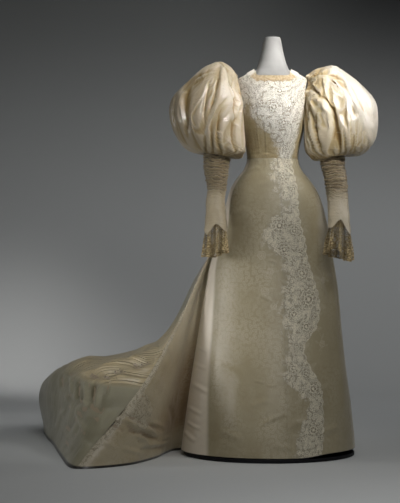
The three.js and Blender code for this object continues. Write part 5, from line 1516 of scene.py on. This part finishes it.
# ------------------------------------------------------------------------------------------------ studio
def sweep_material():
    """Pale floor that turns into a darker backdrop towards the top, darker still to the right at the top: painted shade
    for the light falling off up the backdrop.
    """
    t = Tree("studio_grey")
    co = t.node("TexCoord", 3)
    sep = t.nt.nodes.new("ShaderNodeSeparateXYZ")
    t.nt.links.new(co, sep.inputs[0])
    n = t.noise(co, 2.0, 2, 0.5)
    high = t.mix(t.smooth(sep.outputs[0], -0.5, 1.0), (0.17, 0.175, 0.17), (0.022, 0.023, 0.023))
    wall = t.mix(t.smooth(sep.outputs[2], 0.8, 2.4), (0.55, 0.56, 0.555), high)
    colour = t.mix(t.smooth(sep.outputs[1], -0.5, 3.4), (0.635, 0.655, 0.655), wall)
    t.set(Base_Color=t.mix(t.math("MULTIPLY", n, 0.04), colour, (0.3, 0.3, 0.3)), Roughness=0.9, Specular_IOR_Level=0.2)
    return t.mat


def sweep():
    """Floor and backdrop in one curved sheet."""
    prof = [(-6.0, 0.0)] + [(y, 0.0) for y in np.linspace(-4, 2.6, 12)]
    prof += [(2.6 + 1.4 * math.sin(a), 1.4 - 1.4 * math.cos(a)) for a in np.linspace(0.1, math.pi / 2, 14)]
    prof += [(4.0, z) for z in np.linspace(1.8, 6.0, 10)]
    xs = np.linspace(-7, 7, 15)
    verts = np.array([(x, y, z - 0.0008) for x in xs for y, z in prof])
    n = len(prof)
    f = np.array([(i * n + j, (i + 1) * n + j, (i + 1) * n + j + 1, i * n + j + 1) for i in range(len(xs) - 1) for j in range(n - 1)])
    return make_object("studio_sweep", verts, [f], (), (), sweep_material())


STAGE = sweep()


def lamp(name, place, aim, size, power, colour=(1, 1, 1), spread=math.pi):
    data = bpy.data.lights.new(name, "AREA")
    data.shape, data.size, data.size_y = "RECTANGLE", size[0], size[1]
    data.energy, data.color, data.spread = power, colour, spread
    ob = bpy.data.objects.new(name, data)
    ob.location = place
    d = np.array(aim, float) - np.array(place, float)
    ob.rotation_euler = mathutils.Vector(d).to_track_quat("-Z", "Y").to_euler()
    bpy.context.scene.collection.objects.link(ob)
    return ob


lamp("key", (1.35, -0.9, 2.9), (0.25, 0.0, 1.37), (0.5, 0.5), 0.9, (1.0, 0.985, 0.965), math.radians(40))
lamp("key_high", (1.35, -2.35, 2.75), (0.16, -0.05, 1.52), (0.4, 0.4), 2.6, (1.0, 0.99, 0.98), math.radians(20.5))
lamp("side", (-3.4, -0.5, 0.85), (-0.25, 0.0, 0.55), (1.2, 0.9), 1.8, (1.0, 0.985, 0.96), math.radians(34))
lamp("rim", (2.6, 0.7, 2.3), (0.3, 0.0, 1.38), (0.8, 0.8), 0.85, (1.0, 0.99, 0.97), math.radians(36))
lamp("top", (-0.4, -0.3, 4.2), (-0.3, 0.3, 0.4), (2.2, 2.2), 2.7, (0.99, 0.99, 0.98), math.radians(120))
lamp("front", (-0.6, -5.0, 1.6), (-0.1, 0.0, 0.7), (2.5, 2.5), 2.5, (1.0, 0.99, 0.97), math.radians(90))
lamp("front_right", (1.6, -4.6, 1.8), (-0.1, 0.0, 0.7), (2.0, 2.0), 0.85, (1.0, 0.99, 0.97), math.radians(90))
lamp("front_high", (0.7, -2.6, 3.4), (0.5, -1.5, 0.0), (1.6, 0.8), 8.2, (1.0, 0.99, 0.98), math.radians(70))
lamp("front_low", (0.4, -3.4, 0.95), (-0.34, 0.0, 0.52), (0.5, 0.5), 0.34, (1.0, 0.985, 0.96), math.radians(14))
lamp("wash", (-0.3, 0.9, 3.0), (-0.3, 4.0, 0.9), (5.0, 1.2), 21, (0.98, 0.99, 1.0))
lamp("wash_right", (1.2, 1.2, 3.2), (1.0, 4.0, 0.6), (2.0, 1.0), 8.0, (0.98, 0.99, 1.0), math.radians(120))

world = bpy.data.worlds.new("studio")
world.use_nodes = True
world.node_tree.nodes["Background"].inputs[0].default_value = (0.9, 0.95, 1.0, 1)
world.node_tree.nodes["Background"].inputs[1].default_value = 0.01
bpy.context.scene.world = world
bpy.context.scene.view_settings.view_transform = "Standard"

cam = bpy.data.cameras.new("view")
cam.sensor_width, cam.lens = 36.0, 125.73
cam.clip_end = 60
CAMERA = bpy.data.objects.new("view", cam)
CAMERA.location = (-0.268, -6.5, 0.745)
CAMERA.rotation_euler = (math.radians(90), 0, 0)
bpy.context.scene.collection.objects.link(CAMERA)
bpy.context.scene.camera = CAMERA

print("TRIANGLES", sum(MESH_TRIS.values()), {k: v for k, v in MESH_TRIS.items()})
print("AREAS", {k: round(v, 4) for k, v in AREAS.items()})
